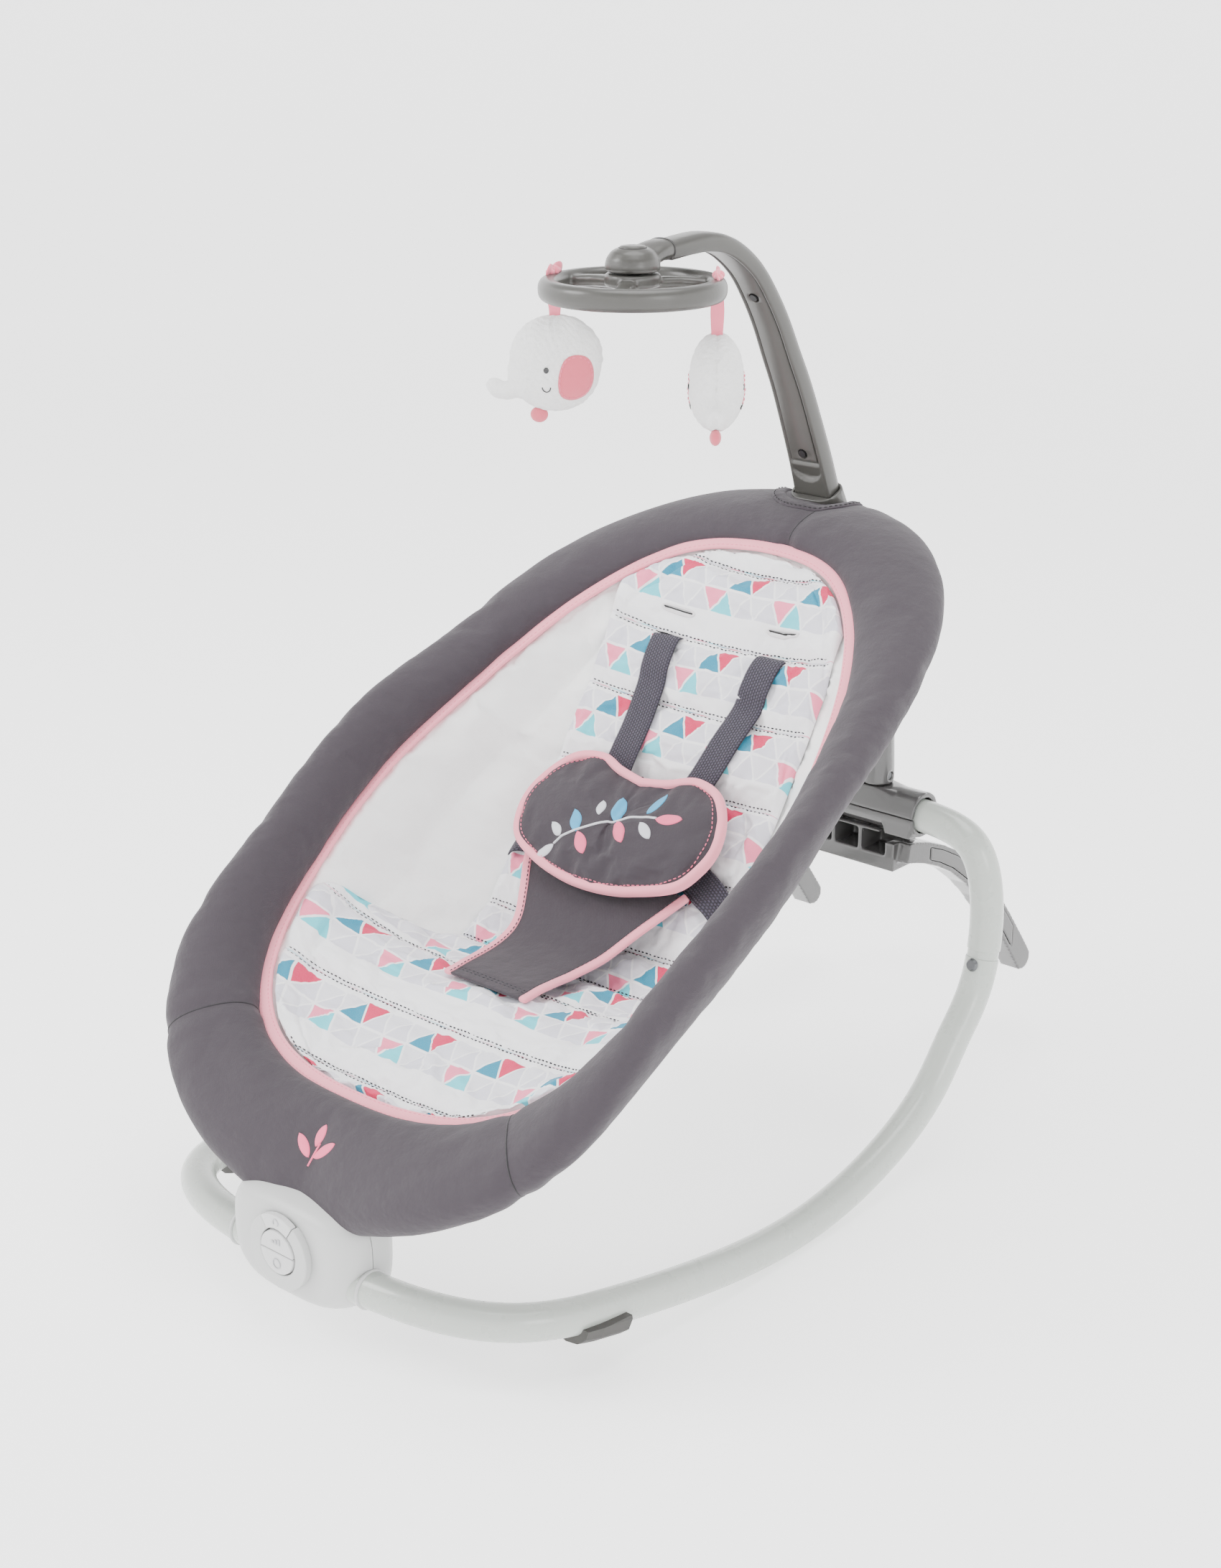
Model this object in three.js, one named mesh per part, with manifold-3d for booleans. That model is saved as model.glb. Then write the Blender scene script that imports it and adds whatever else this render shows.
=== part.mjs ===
// Rocking infant seat: a steel rail base on two curved runners, a padded oval seat with a
// removable quilted liner and harness, a vibration unit at the front, a fold-down kickstand
// at the rear and a pull-off toy bar with a spinning ring and two hanging soft toys.
// Millimetres, +Z up, +X to the child's left, -Y is the front.  Z = 0 is the floor.
import * as THREE from 'three';
import { ConvexGeometry } from 'three/addons/geometries/ConvexGeometry.js';
import { mergeVertices } from 'three/addons/utils/BufferGeometryUtils.js';
import Module from 'manifold-3d';

const wasm = await Module();
wasm.setup();

// ---------------------------------------------------------------- driving dimensions
const ORIGIN_Y = 20;             // shift that puts the origin under the middle of the base
const FLOOR_Z = 0.36;            // lowest edge of the runners above the drawing's zero
const TUBE_R = 12.5;             // runner tube
const TUBE_BORE = 11.6;
const SPIGOT_R = 10.7;
const REAR_BORE = 9.6;
const TUBE_SEG = 12;
const FRONT_TUBE = { y: -318, z: 50 };
const REAR_AXIS = { y: 206, z: 243 };
const SPLICE_Z = 148;            // height of the runner joint
const SEAT_TILT = 34.03;         // degrees, seat frame against the floor
const SEAT_MID = { y: -50, z: 291.6 };
const SEAT_HALF = [[0, 267.9], [78.4, 258.3], [140.2, 171.2], [163.9, 77.1], [189.4, -12.2],
  [180.9, -106.5], [162.8, -193.8], [102.1, -258.4], [0, -268.9]];
const ROLL_W = [83, 65, 46, 47, 51, 70, 82];      // padded border, back centre to front centre
const ROLL_H = [35, 34, 32, 30, 31, 38, 40];
const ROLL_TILT = [-25, -14, 16, 60, 57, 11, -20];
const SEAT_TUBE_R = 8;
const SLING = [[268, -1], [235, -5], [200, -11], [172, -22], [128, -40], [85, -54], [47, -65], [0, -79],
  [-40, -90], [-70, -93], [-95, -78], [-126, -46],
  [-150, -32], [-175, -24], [-220, -15], [-250, -8], [-268, -1]];
const SLING_T = 4;
const PAD_T = 12;
const PAD_HALF_W = 104;
const SLING_DROP = 14;           // liner top lies on the profile, cloth lies this far below it
const HARNESS_W = 25;
const DIAL = { y: -335, z: 64, r: 27, rIn: 16 };
const RING = { y: 9, z: 645, r: 57 };
const STAND_PATH = [[196, 213], [222, 206], [262, 187], [305, 152], [341, 110], [374, 66]];

// ---------------------------------------------------------------- helpers
const V = (x, y, z) => new THREE.Vector3(x, y, z);
const rad = (d) => (d * Math.PI) / 180;

function lerpTable(table, s) {
  const f = Math.min(Math.max(s, 0), 1) * (table.length - 1);
  const i = Math.min(Math.floor(f), table.length - 2);
  const p = (k) => table[Math.min(Math.max(k, 0), table.length - 1)];
  const t = f - i;
  const [a, b, c, d] = [p(i - 1), p(i), p(i + 1), p(i + 2)];
  return b + 0.5 * t * (c - a + t * (2 * a - 5 * b + 4 * c - d + t * (3 * (b - c) + d - a)));
}

function profile(table, v) {
  const n = table.length;
  if (v >= table[0][0]) return table[0][1];
  if (v <= table[n - 1][0]) return table[n - 1][1];
  let i = 0;
  while (v < table[i + 1][0]) i += 1;
  const m = (k) => {
    const a = table[Math.max(k - 1, 0)];
    const b = table[Math.min(k + 1, n - 1)];
    return (b[1] - a[1]) / (b[0] - a[0]);
  };
  const h = table[i + 1][0] - table[i][0];
  const t = (v - table[i][0]) / h;
  const t2 = t * t;
  const t3 = t2 * t;
  return (2 * t3 - 3 * t2 + 1) * table[i][1] + (t3 - 2 * t2 + t) * h * m(i)
    + (-2 * t3 + 3 * t2) * table[i + 1][1] + (t3 - t2) * h * m(i + 1);
}

// clamped cubic B-spline with evenly spaced inner knots
function clampedSpline(ctrl, n) {
  const m = ctrl.length;
  const knots = [0, 0, 0];
  for (let i = 0; i <= m - 3; i += 1) knots.push(i / (m - 3));
  knots.push(1, 1, 1);
  const at = (u) => {
    let k = 3;
    while (k < m - 1 && u >= knots[k + 1]) k += 1;
    const d = [];
    for (let j = 0; j <= 3; j += 1) d.push(ctrl[k - 3 + j].slice());
    for (let r = 1; r <= 3; r += 1) {
      for (let j = 3; j >= r; j -= 1) {
        const lo = knots[j + k - 3];
        const w = (u - lo) / (knots[j + 1 + k - r] - lo);
        d[j] = d[j].map((q, a) => (1 - w) * d[j - 1][a] + w * q);
      }
    }
    return V(...d[3]);
  };
  return Array.from({ length: n + 1 }, (_, i) => at(Math.min(i / n, 0.999999)));
}

function closedSpline(ctrl, per) {
  const n = ctrl.length;
  const out = [];
  for (let i = 0; i < n; i += 1) {
    for (let k = 0; k < per; k += 1) {
      const t = k / per;
      const b = [(1 - t) ** 3 / 6, (3 * t ** 3 - 6 * t * t + 4) / 6,
        (-3 * t ** 3 + 3 * t * t + 3 * t + 1) / 6, t ** 3 / 6];
      const p = [0, 0];
      for (let j = 0; j < 4; j += 1) {
        const q = ctrl[(i + j - 1 + n) % n];
        p[0] += b[j] * q[0];
        p[1] += b[j] * q[1];
      }
      out.push(p);
    }
  }
  return out;
}

// closed three.js geometry to a solid that can be joined and cut
function solidOf(geometry) {
  geometry.deleteAttribute('normal');
  geometry.deleteAttribute('uv');
  const g = mergeVertices(geometry);
  const triVerts = new Uint32Array(g.index.array);
  const vertProperties = g.attributes.position.array;
  return new wasm.Manifold(new wasm.Mesh({ numProp: 3, vertProperties, triVerts }));
}

function solid(verts, tris) {
  let vol = 0;
  for (const [a, b, c] of tris) vol += verts[a].dot(V().crossVectors(verts[b], verts[c])) / 6;
  const g = new THREE.BufferGeometry().setFromPoints(verts);
  g.setIndex(tris.flatMap(([a, b, c]) => (vol < 0 ? [a, c, b] : [a, b, c])));
  return solidOf(g);
}

// rings: array of stations, each an array of points; joined end to end or capped
function skin(rings, closed, turned = () => false) {
  const n = rings.length;
  const k = rings[0].length;
  const verts = rings.flat();
  const tris = [];
  for (let i = 0; i < (closed ? n : n - 1); i += 1) {
    const a = i * k;
    const b = ((i + 1) % n) * k;
    for (let j = 0; j < k; j += 1) {
      const q = (j + 1) % k;
      if (turned(j)) tris.push([a + j, b + j, a + q], [b + j, b + q, a + q]);
      else tris.push([a + j, b + j, b + q], [a + j, b + q, a + q]);
    }
  }
  if (!closed) {
    for (const [base, rev] of [[0, true], [(n - 1) * k, false]]) {
      const c = V(0, 0, 0);
      for (let j = 0; j < k; j += 1) c.addScaledVector(verts[base + j], 1 / k);
      verts.push(c);
      const ci = verts.length - 1;
      for (let j = 0; j < k; j += 1) {
        const q = (j + 1) % k;
        tris.push(rev ? [ci, base + j, base + q] : [ci, base + q, base + j]);
      }
    }
  }
  return solid(verts, tris);
}

function frames(path, up, closed) {
  const n = path.length;
  return path.map((p, i) => {
    const a = closed ? path[(i - 1 + n) % n] : path[Math.max(i - 1, 0)];
    const b = closed ? path[(i + 1) % n] : path[Math.min(i + 1, n - 1)];
    const t = b.clone().sub(a).normalize();
    const s = V().crossVectors(t, up).normalize();
    return { p, t, s, u: V().crossVectors(s, t) };
  });
}

function tubeFrames(path) {
  const f = [];
  let u = V(0, 0, 1);
  path.forEach((p, i) => {
    const t = path[Math.min(i + 1, path.length - 1)].clone().sub(path[Math.max(i - 1, 0)]).normalize();
    if (Math.abs(u.dot(t)) > 0.95 && i === 0) u = V(0, 1, 0);
    u = u.clone().addScaledVector(t, -u.dot(t)).normalize();
    f.push({ p, t, u, s: V().crossVectors(t, u) });
  });
  return f;
}

function rod(path, r, seg = 16) {
  return skin(tubeFrames(path).map(({ p, u, s }) => Array.from({ length: seg }, (_, j) => {
    const a = (2 * Math.PI * j) / seg;
    return p.clone().addScaledVector(u, r * Math.cos(a)).addScaledVector(s, r * Math.sin(a));
  })), false);
}

function place(m, from, to) {
  const q = new THREE.Quaternion().setFromUnitVectors(V(0, 0, 1), to.clone().sub(from).normalize());
  return m.transform(new THREE.Matrix4().compose(from, q, V(1, 1, 1)).toArray());
}

function cyl(a, b, r, seg = 20, r2 = r) {
  const A = V(...a);
  const B = V(...b);
  const h = A.distanceTo(B);
  const upright = new THREE.CylinderGeometry(r2, r, h, seg).rotateX(Math.PI / 2).translate(0, 0, h / 2);
  return place(solidOf(upright), A, B);
}

function box(x0, x1, y0, y1, z0, z1) {
  const g = new THREE.BoxGeometry(x1 - x0, y1 - y0, z1 - z0);
  return solidOf(g.translate((x0 + x1) / 2, (y0 + y1) / 2, (z0 + z1) / 2));
}

function ball(c, r, seg = 12, k = [1, 1, 1]) {
  return solidOf(new THREE.SphereGeometry(r, seg, seg / 2).rotateX(Math.PI / 2).scale(...k)).translate(c);
}

function corners(m) {
  const p = m.getMesh().vertProperties;
  return Array.from({ length: p.length / 3 }, (_, i) => V(p[3 * i], p[3 * i + 1], p[3 * i + 2]));
}

const mirrorX = (m) => m.mirror([1, 0, 0]);
const hull = (...m) => solidOf(new ConvexGeometry(m.flatMap(corners)));

// flat outline drawn in XY, raised along Z
function slab(points, height) {
  const shape = new THREE.Shape(points.map(([x, y]) => new THREE.Vector2(x, y)));
  return solidOf(new THREE.ExtrudeGeometry(shape, { depth: height, bevelEnabled: false }));
}

// convex outline moved outwards by k, corners kept sharp
function grown(points, k) {
  const n = points.length;
  return points.map(([x, y], i) => {
    const [ax, ay] = points[(i - 1 + n) % n];
    const [bx, by] = points[(i + 1) % n];
    const a = new THREE.Vector2(y - ay, ax - x).normalize();
    const b = new THREE.Vector2(by - y, x - bx).normalize();
    const reach = k / (1 + a.dot(b));
    const m = a.add(b).multiplyScalar(reach);
    return [x + m.x, y + m.y];
  });
}

// ---------------------------------------------------------------- seat frame geometry
const CT = Math.cos(rad(SEAT_TILT));
const ST = Math.sin(rad(SEAT_TILT));
const NORMAL = V(0, -ST, CT);
const seatPoint = (x, v, n) => V(x, SEAT_MID.y + v * CT - n * ST, SEAT_MID.z + v * ST + n * CT);

// rim stations: point on the inner edge, outward and normal directions, border size and lean
function rimStations() {
  const mirrored = SEAT_HALF.slice(1, -1).reverse().map(([x, v]) => [-x, v]);
  const loop = closedSpline([...SEAT_HALF, ...mirrored], 3);
  const n = loop.length;
  const pts = loop.map(([x, v]) => seatPoint(x, v, 0));
  const cum = [0];
  pts.forEach((p, i) => cum.push(cum[i] + p.distanceTo(pts[(i + 1) % n])));
  return loop.map(([x, v], i) => {
    let s = (cum[i] / cum[n]) * 2;
    if (s > 1) s = 2 - s;
    const a = loop[(i - 1 + n) % n];
    const b = loop[(i + 1) % n];
    const t = [b[0] - a[0], b[1] - a[1]];
    const len = Math.hypot(...t);
    let o = [t[1] / len, -t[0] / len];
    if (o[0] * x + o[1] * v < 0) o = [-o[0], -o[1]];
    const out = V(o[0], o[1] * CT, o[1] * ST);
    const f = rad(lerpTable(ROLL_TILT, s));
    const w = lerpTable(ROLL_W, s);
    const h = lerpTable(ROLL_H, s);
    const d = out.clone().multiplyScalar(Math.cos(f)).addScaledVector(NORMAL, Math.sin(f));
    const e = out.clone().multiplyScalar(-Math.sin(f)).addScaledVector(NORMAL, Math.cos(f));
    const c = pts[i].clone().addScaledVector(d, w / 2 + 0.3);
    return { x, v, ox: o[0], ov: o[1], s, p: pts[i], out, d, e, w, h, c };
  });
}
const RIM = rimStations();

function rimHalfWidth(v) {
  const half = RIM.filter((r) => r.x >= -0.01).sort((a, b) => b.v - a.v);
  if (v >= half[0].v) return half[0].x;
  for (let i = 0; i < half.length - 1; i += 1) {
    if (v <= half[i].v && v > half[i + 1].v) {
      const t = (half[i].v - v) / (half[i].v - half[i + 1].v);
      return half[i].x + t * (half[i + 1].x - half[i].x);
    }
  }
  return half[half.length - 1].x;
}

// half width of the rim moved inwards by k
function insetHalfWidth(v, k) {
  const moved = RIM.map((r) => [r.x - r.ox * k, r.v - r.ov * k]);
  const half = moved.filter(([x]) => x >= -0.01).sort((a, b) => b[1] - a[1]);
  if (v >= half[0][1] || v <= half[half.length - 1][1]) return 0;
  const i = half.findIndex((q, j) => v <= q[1] && v > half[j + 1][1]);
  const t = (half[i][1] - v) / (half[i][1] - half[i + 1][1]);
  return half[i][0] + t * (half[i + 1][0] - half[i][0]);
}

function linerHalfWidth(v) {
  const rim = insetHalfWidth(v, 11);
  const wide = 1 / (1 + Math.exp((v + 104) / 5));
  return Math.min(rim, PAD_HALF_W + Math.max(rim - PAD_HALF_W, 0) * wide);
}

// height of the top of the liner or of the cloth beside it, along the seat normal
function bowl(x, v) {
  const X = Math.max(rimHalfWidth(v), 12);
  const flat = Math.min(PAD_HALF_W, X * 0.62);
  const d = profile(SLING, v);
  const a = Math.abs(x);
  if (a <= flat) return d + 5 * (a / flat) ** 2;
  return (d + 5) * (1 - ((a - flat) / (X - flat)) ** 1.15);
}

// ---------------------------------------------------------------- base
function railPath() {
  const ctrl = [[30, -318, 50], [153, -318, 50], [183, -219, 39], [183, -37, 4], [183, 74, 24],
    [183, 139, 57], [183, 164, 95], [183, 205, 127], [183, 206, 243], [134, 206, 243], [66, 206, 243]];
  return clampedSpline(ctrl, 36);
}
const RAIL = railPath();
const RAIL_FRAMES = tubeFrames(RAIL);
const SPLIT = RAIL.findIndex((p, i) => i > 20 && p.z > SPLICE_Z);

function spliceFrame() {
  const p = RAIL[SPLIT - 1];
  const t = RAIL[SPLIT].clone().sub(RAIL[SPLIT - 2]).normalize();
  return { p, out: V(0, -t.z, t.y).normalize() };
}

function screwHole() {
  const { p, out } = spliceFrame();
  const a = p.clone().addScaledVector(out, 6);
  const b = p.clone().addScaledVector(out, 16);
  return cyl(a.toArray(), b.toArray(), 2.5, 12);
}

// open pipe through the given stations: outer wall out, inner wall back
function pipe(outer, inner) {
  const ring = ({ p, u, s, r }) => Array.from({ length: TUBE_SEG }, (_, j) => {
    const a = (2 * Math.PI * j) / TUBE_SEG;
    return p.clone().addScaledVector(u, r * Math.cos(a)).addScaledVector(s, r * Math.sin(a));
  });
  return skin([...outer.map(ring), ...inner.map(ring).reverse()], true);
}

function frontRail() {
  const at = RAIL_FRAMES.slice(0, SPLIT + 1);
  const sized = (r) => at.map((f) => ({ ...f, r }));
  return pipe(sized(TUBE_R), sized(TUBE_BORE)).subtract(screwHole());
}

// rear tube, drawn down at its lower end to a spigot that fits inside the front rail
function rearTube() {
  const at = RAIL_FRAMES.slice(SPLIT - 2);
  const step = { ...at[2], p: at[2].p.clone().addScaledVector(at[2].t, 1.9) };
  const outer = [...[at[0], at[1], step].map((f) => ({ ...f, r: SPIGOT_R })),
    ...[step, ...at.slice(3)].map((f) => ({ ...f, r: TUBE_R }))];
  const inner = [at[0], at[1], ...at.slice(3)].map((f) => ({ ...f, r: REAR_BORE }));
  return pipe(outer, inner).subtract(screwHole());
}

function spliceScrew() {
  const { p, out } = spliceFrame();
  const at = (d) => p.clone().addScaledVector(out, d).toArray();
  return cyl(at(TUBE_R + 0.5), at(TUBE_R + 2.6), 5, 16, 3.6).add(cyl(at(7.5), at(TUBE_R + 0.6), 2, 12));
}

function frontFoot() {
  const i = RAIL.findIndex((p) => p.y > -232);
  const near = RAIL.slice(i - 4, i + 5);
  const lower = box(140, 215, -247, -213, 0, RAIL[i].z - 2);
  return rod(near, TUBE_R + 6, 12).subtract(rod(near, TUBE_R + 0.5, 14)).intersect(lower);
}

// ---------------------------------------------------------------- vibration unit
function unitBody(k) {
  const plan = [[38, -334], [48, -327], [60, -303], [57, -290],
    [-57, -290], [-60, -303], [-48, -327], [-38, -334]];
  const front = [[60, 97], [60, 48], [53, 35], [40, 28], [22, 25],
    [-22, 25], [-40, 28], [-53, 35], [-60, 48], [-60, 97]];
  const a = slab(grown(plan, k), 140);
  const b = slab(grown(front.reverse(), k), 80).rotate([90, 0, 0]).translate([0, -260, 0]);
  return a.intersect(b);
}

function unitShell(half) {
  const tube = cyl([-90, FRONT_TUBE.y, FRONT_TUBE.z], [90, FRONT_TUBE.y, FRONT_TUBE.z], TUBE_R + 0.4, 20);
  const keep = half === 'front' ? box(-90, 90, -350, -313.2, 0, 140) : box(-90, 90, -312.8, -260, 0, 140);
  const walls = unitBody(0).subtract(unitBody(-2.4));
  const bend = rod(RAIL.slice(0, 8), TUBE_R + 0.7, 16);
  return walls.intersect(keep).subtract(tube).subtract(bend).subtract(mirrorX(bend));
}

function unitFront() {
  const boss = cyl([0, -327, DIAL.z], [0, DIAL.y + 0.5, DIAL.z], DIAL.r - 1.5, 32);
  const bore = cyl([0, -325, DIAL.z], [0, -340, DIAL.z], DIAL.rIn - 4, 24);
  const keyway = box(-6, 6, -340, -325, DIAL.z + 17.5, DIAL.z + 25.5);
  const tube = cyl([-90, FRONT_TUBE.y, FRONT_TUBE.z], [90, FRONT_TUBE.y, FRONT_TUBE.z], TUBE_R + 0.8, 20);
  return unitShell('front').add(boss).subtract(bore).subtract(keyway).subtract(tube);
}

function unitRear() {
  const door = box(-31.5, 31.5, -300, -280, 63.5, 88.5);
  return unitShell('rear').subtract(door);
}

function dialDisc(r0, r1, y0, y1, seg = 40) {
  const bore = cyl([0, y1 + 5, DIAL.z], [0, y0 - 5, DIAL.z], r0, seg);
  return cyl([0, y1, DIAL.z], [0, y0, DIAL.z], r1, seg).subtract(bore);
}

const wedge = (k) => hull(
  box(-0.5, 0.5, -360, -320, DIAL.z, DIAL.z + 1),
  box(-26 - k, -24 - k, -360, -320, DIAL.z + 40, DIAL.z + 42),
  box(24 + k, 26 + k, -360, -320, DIAL.z + 40, DIAL.z + 42),
);

function dialRing() {
  const ring = dialDisc(DIAL.rIn + 0.5, DIAL.r, DIAL.y - 6, DIAL.y);
  return ring.subtract(wedge(0.8).intersect(box(-40, 40, -400, -300, DIAL.z + 12, 140)));
}

function topButton() {
  const seg = dialDisc(DIAL.rIn + 0.8, DIAL.r - 0.3, DIAL.y - 6.4, DIAL.y - 1.8).intersect(wedge(-0.2));
  const stem = box(-5, 5, DIAL.y - 3, -330, DIAL.z + 18.5, DIAL.z + 24.5);
  return seg.intersect(box(-40, 40, -400, -300, DIAL.z + 14, 140)).add(stem);
}

function innerButton(upper) {
  const face = cyl([0, DIAL.y - 1.8, DIAL.z], [0, DIAL.y - 7, DIAL.z], DIAL.rIn, 32, DIAL.rIn - 0.6);
  const stem = cyl([0, -329, DIAL.z], [0, DIAL.y - 2.4, DIAL.z], DIAL.rIn - 4.6, 20);
  const cut = upper ? box(-40, 40, -360, -320, DIAL.z + 0.3, 140) : box(-40, 40, -360, -320, 0, DIAL.z - 0.3);
  return face.add(stem).intersect(cut);
}

function batteryDoor() {
  const plate = box(-31, 31, -292.2, -290, 64, 88);
  const tab = box(-8, 8, -295, -293, 60.5, 66).add(box(-8, 8, -295, -291, 64.2, 66));
  return plate.add(tab).subtract(cyl([0, -300, 79], [0, -280, 79], 1.9, 12));
}

function doorScrew() {
  return cyl([0, -289.7, 79], [0, -288, 79], 3.4, 14).add(cyl([0, -295.6, 79], [0, -289.6, 79], 1.5, 10));
}

function battery(z) {
  const can = cyl([-24, -303.5, z], [24, -303.5, z], 7, 16);
  return can.add(cyl([23, -303.5, z], [25.4, -303.5, z], 2.6, 10));
}

const circuitBoard = () => box(-26, 26, -322.6, -321, 31, 92);

function motorCan() {
  const nose = cyl([11, -306, 50], [15, -306, 50], 3, 12);
  const shaft = cyl([14, -306, 50], [23, -306, 50], 1, 8);
  return cyl([-16, -306, 50], [12, -306, 50], 10, 20).add(nose).add(shaft);
}

function motorWeight() {
  const half = cyl([16.5, -306, 50], [22, -306, 50], 7, 20).intersect(box(10, 30, -330, -290, 30, 50.8));
  const hub = cyl([16.5, -306, 50], [22, -306, 50], 2.6, 16);
  return half.add(hub).subtract(cyl([10, -306, 50], [30, -306, 50], 1.2, 12));
}

function frontBracket() {
  const f = RIM.reduce((a, b) => (b.v < a.v ? b : a));
  const top = f.c;
  const base = hull(box(-26, 26, -312, -291, 97.6, 99.4), box(-22, 22, top.y - 11, top.y + 11, 103, 108));
  return base.subtract(cyl([-60, top.y, top.z], [60, top.y, top.z], SEAT_TUBE_R + 1.6, 20));
}

// ---------------------------------------------------------------- rear housing and kickstand
function rearCyl(r, x0, x1, seg = 24) {
  return cyl([x0, REAR_AXIS.y, REAR_AXIS.z], [x1, REAR_AXIS.y, REAR_AXIS.z], r, seg);
}

function rearHousing(upper) {
  const { y, z } = REAR_AXIS;
  let body = rearCyl(17.6, -122, 122);
  if (upper) {
    const stub = hull(cyl([80, y - 3, z], [80, y - 3, 261], 15, 20, 12.6), rearCyl(17.4, 58, 102));
    body = body.add(stub).add(mirrorX(stub));
  } else {
    const saddle = rearCyl(17.4, 94, 120).intersect(box(90, 122, 0, 400, 200, z));
    const lip = hull(box(96, 118, y - 15, y - 3, 226, 230), saddle);
    body = body.add(lip).add(mirrorX(lip));
  }
  const keep = upper ? box(-140, 140, 150, 260, z + 0.2, 300) : box(-140, 140, 150, 260, 200, z - 0.2);
  const bend = rod(RAIL.slice(-9), TUBE_R + 0.7, 16);
  const bore = rearCyl(TUBE_R + 0.7, -130, 130).add(bend).add(mirrorX(bend));
  return body.subtract(bore).intersect(keep);
}

function postEnvelope(k) {
  const foot = cyl([80, REAR_AXIS.y - 3, 261.5], [80, REAR_AXIS.y - 3, 274], 12.6 + k, 20);
  const top = cyl([86, 190, 418], [86.5, 189, 432], 9 + k, 20);
  return hull(foot, top);
}

function seatPost() {
  const recess = cyl([88, REAR_AXIS.y - 3, 268], [110, REAR_AXIS.y - 3, 268], 3.4, 14);
  return postEnvelope(0).subtract(seatTube(SEAT_TUBE_R + 0.5)).subtract(recess);
}

function postScrew() {
  const y = REAR_AXIS.y - 3;
  return cyl([88.4, y, 268], [90.6, y, 268], 3, 14);
}

// bar, two snap clips that turn on the housing, and two curved legs
function standLeg(k, x0, x1) {
  const side = STAND_PATH.map(([y, z]) => V(0, y, z));
  const curve = new THREE.CatmullRomCurve3(side).getPoints(10);
  const half = (i) => 8.2 + (i / 10) * 1.6 + k;
  return skin(frames(curve, V(1, 0, 0)).map(({ p, s }, i) => [
    V(x0, p.y + s.y * half(i), p.z + s.z * half(i)), V(x1, p.y + s.y * half(i), p.z + s.z * half(i)),
    V(x1, p.y - s.y * half(i), p.z - s.z * half(i)), V(x0, p.y - s.y * half(i), p.z - s.z * half(i)),
  ]), false);
}

function standFrame() {
  const { y, z } = REAR_AXIS;
  const bar = box(-106, 106, y - 16, y + 13, 197, 228);
  const clip = rearCyl(22, 38, 52).subtract(box(30, 60, y - 12, y + 12, z, z + 40));
  const leg = standLeg(0, 98, 116);
  const tip = cyl([98, 372, 69], [116, 372, 69], 9.8, 16);
  let body = bar.add(clip).add(mirrorX(clip)).add(leg).add(mirrorX(leg)).add(tip).add(mirrorX(tip));
  for (let i = 0; i < 8; i += 1) {
    const rib = -99 + i * 25;
    body = body.subtract(box(rib, rib + 22, y - 20, y + 9, 209, 226));
  }
  body = body.subtract(rearCyl(18.2, -130, 130));
  const lip = box(92, 122, y - 17, y + 7, 219.5, 232);
  body = body.subtract(lip).subtract(mirrorX(lip));
  const pocket = standCoverBlank(0.3, 114.2, 120);
  return body.subtract(pocket).subtract(mirrorX(pocket));
}

function standCoverBlank(k, x0, x1) {
  return standLeg(-4 + k, x0, x1).intersect(box(90, 130, 226 - k, 352 + k, 40, 240));
}

function standCover() {
  const hole = cyl([100, 300, 157], [130, 300, 157], 2.4, 12);
  return standCoverBlank(0, 114.6, 116.4).subtract(hole);
}

const standScrew = () => cyl([114.7, 300, 157], [117.2, 300, 157], 2, 12);

// ---------------------------------------------------------------- seat
function seatTube(r, seg = 10) {
  return skin(RIM.map(({ c, d, e }) => Array.from({ length: seg }, (_, j) => {
    const a = (2 * Math.PI * j) / seg;
    return c.clone().addScaledVector(d, r * Math.cos(a)).addScaledVector(e, r * Math.sin(a));
  })), true);
}

function seatFrame() {
  const f = RIM.reduce((a, b) => (b.v < a.v ? b : a)).c;
  const vent = cyl([30, f.y + 12, f.z + 10], [30, f.y - 2, f.z - 2], 1.5, 8);
  return seatTube(SEAT_TUBE_R, 8).subtract(seatTube(SEAT_TUBE_R - 1.6, 6)).subtract(vent);
}

// padded border: an oval sleeve with a narrow slot underneath that snaps over the frame tube
function border() {
  const rings = RIM.map(({ c, d, e, w, h }) => {
    const at = (a, b) => c.clone().addScaledVector(d, a).addScaledVector(e, b);
    const ring = [];
    for (let j = 0; j <= 12; j += 1) {
      const a = rad(-90 + 14 + ((360 - 28) * j) / 12);
      ring.push(at((w / 2) * Math.cos(a), (h / 2) * Math.sin(a)));
    }
    const r = SEAT_TUBE_R + 1.7;
    for (let j = 0; j <= 6; j += 1) {
      const a = rad(-90 - 22 - ((360 - 44) * j) / 6);
      ring.push(at(r * Math.cos(a), r * Math.sin(a)));
    }
    return ring;
  });
  const post = postEnvelope(0.6);
  const collar = barCollarEnvelope(0.6);
  return skin(rings, true).subtract(unitBody(1.2)).subtract(unitDialEnvelope()).subtract(post)
    .subtract(mirrorX(post)).subtract(collar).subtract(bracketEnvelope())
    .subtract(box(-34, 34, -298, -256, 55, 95));
}

const unitDialEnvelope = () => cyl([0, -325, DIAL.z], [0, -350, DIAL.z], DIAL.r + 0.8, 32);

function bracketEnvelope() {
  const f = RIM.reduce((a, b) => (b.v < a.v ? b : a)).c;
  return hull(box(-27, 27, -313, -290, 95, 100.5), box(-23, 23, f.y - 12, f.y + 12, 102, 109));
}

function piping() {
  const section = [[4.2, 0.5], [2.5, 2.2], [-2.5, 2.2], [-4.2, 0.2], [-2.5, -1.6], [2.5, -1.6]];
  const at = ({ p, out }, a, b) => p.clone().addScaledVector(out, a - 4.6).addScaledVector(NORMAL, b - 1.5);
  return skin(RIM.map((r) => section.map(([a, b]) => at(r, a, b))), true);
}

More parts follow.
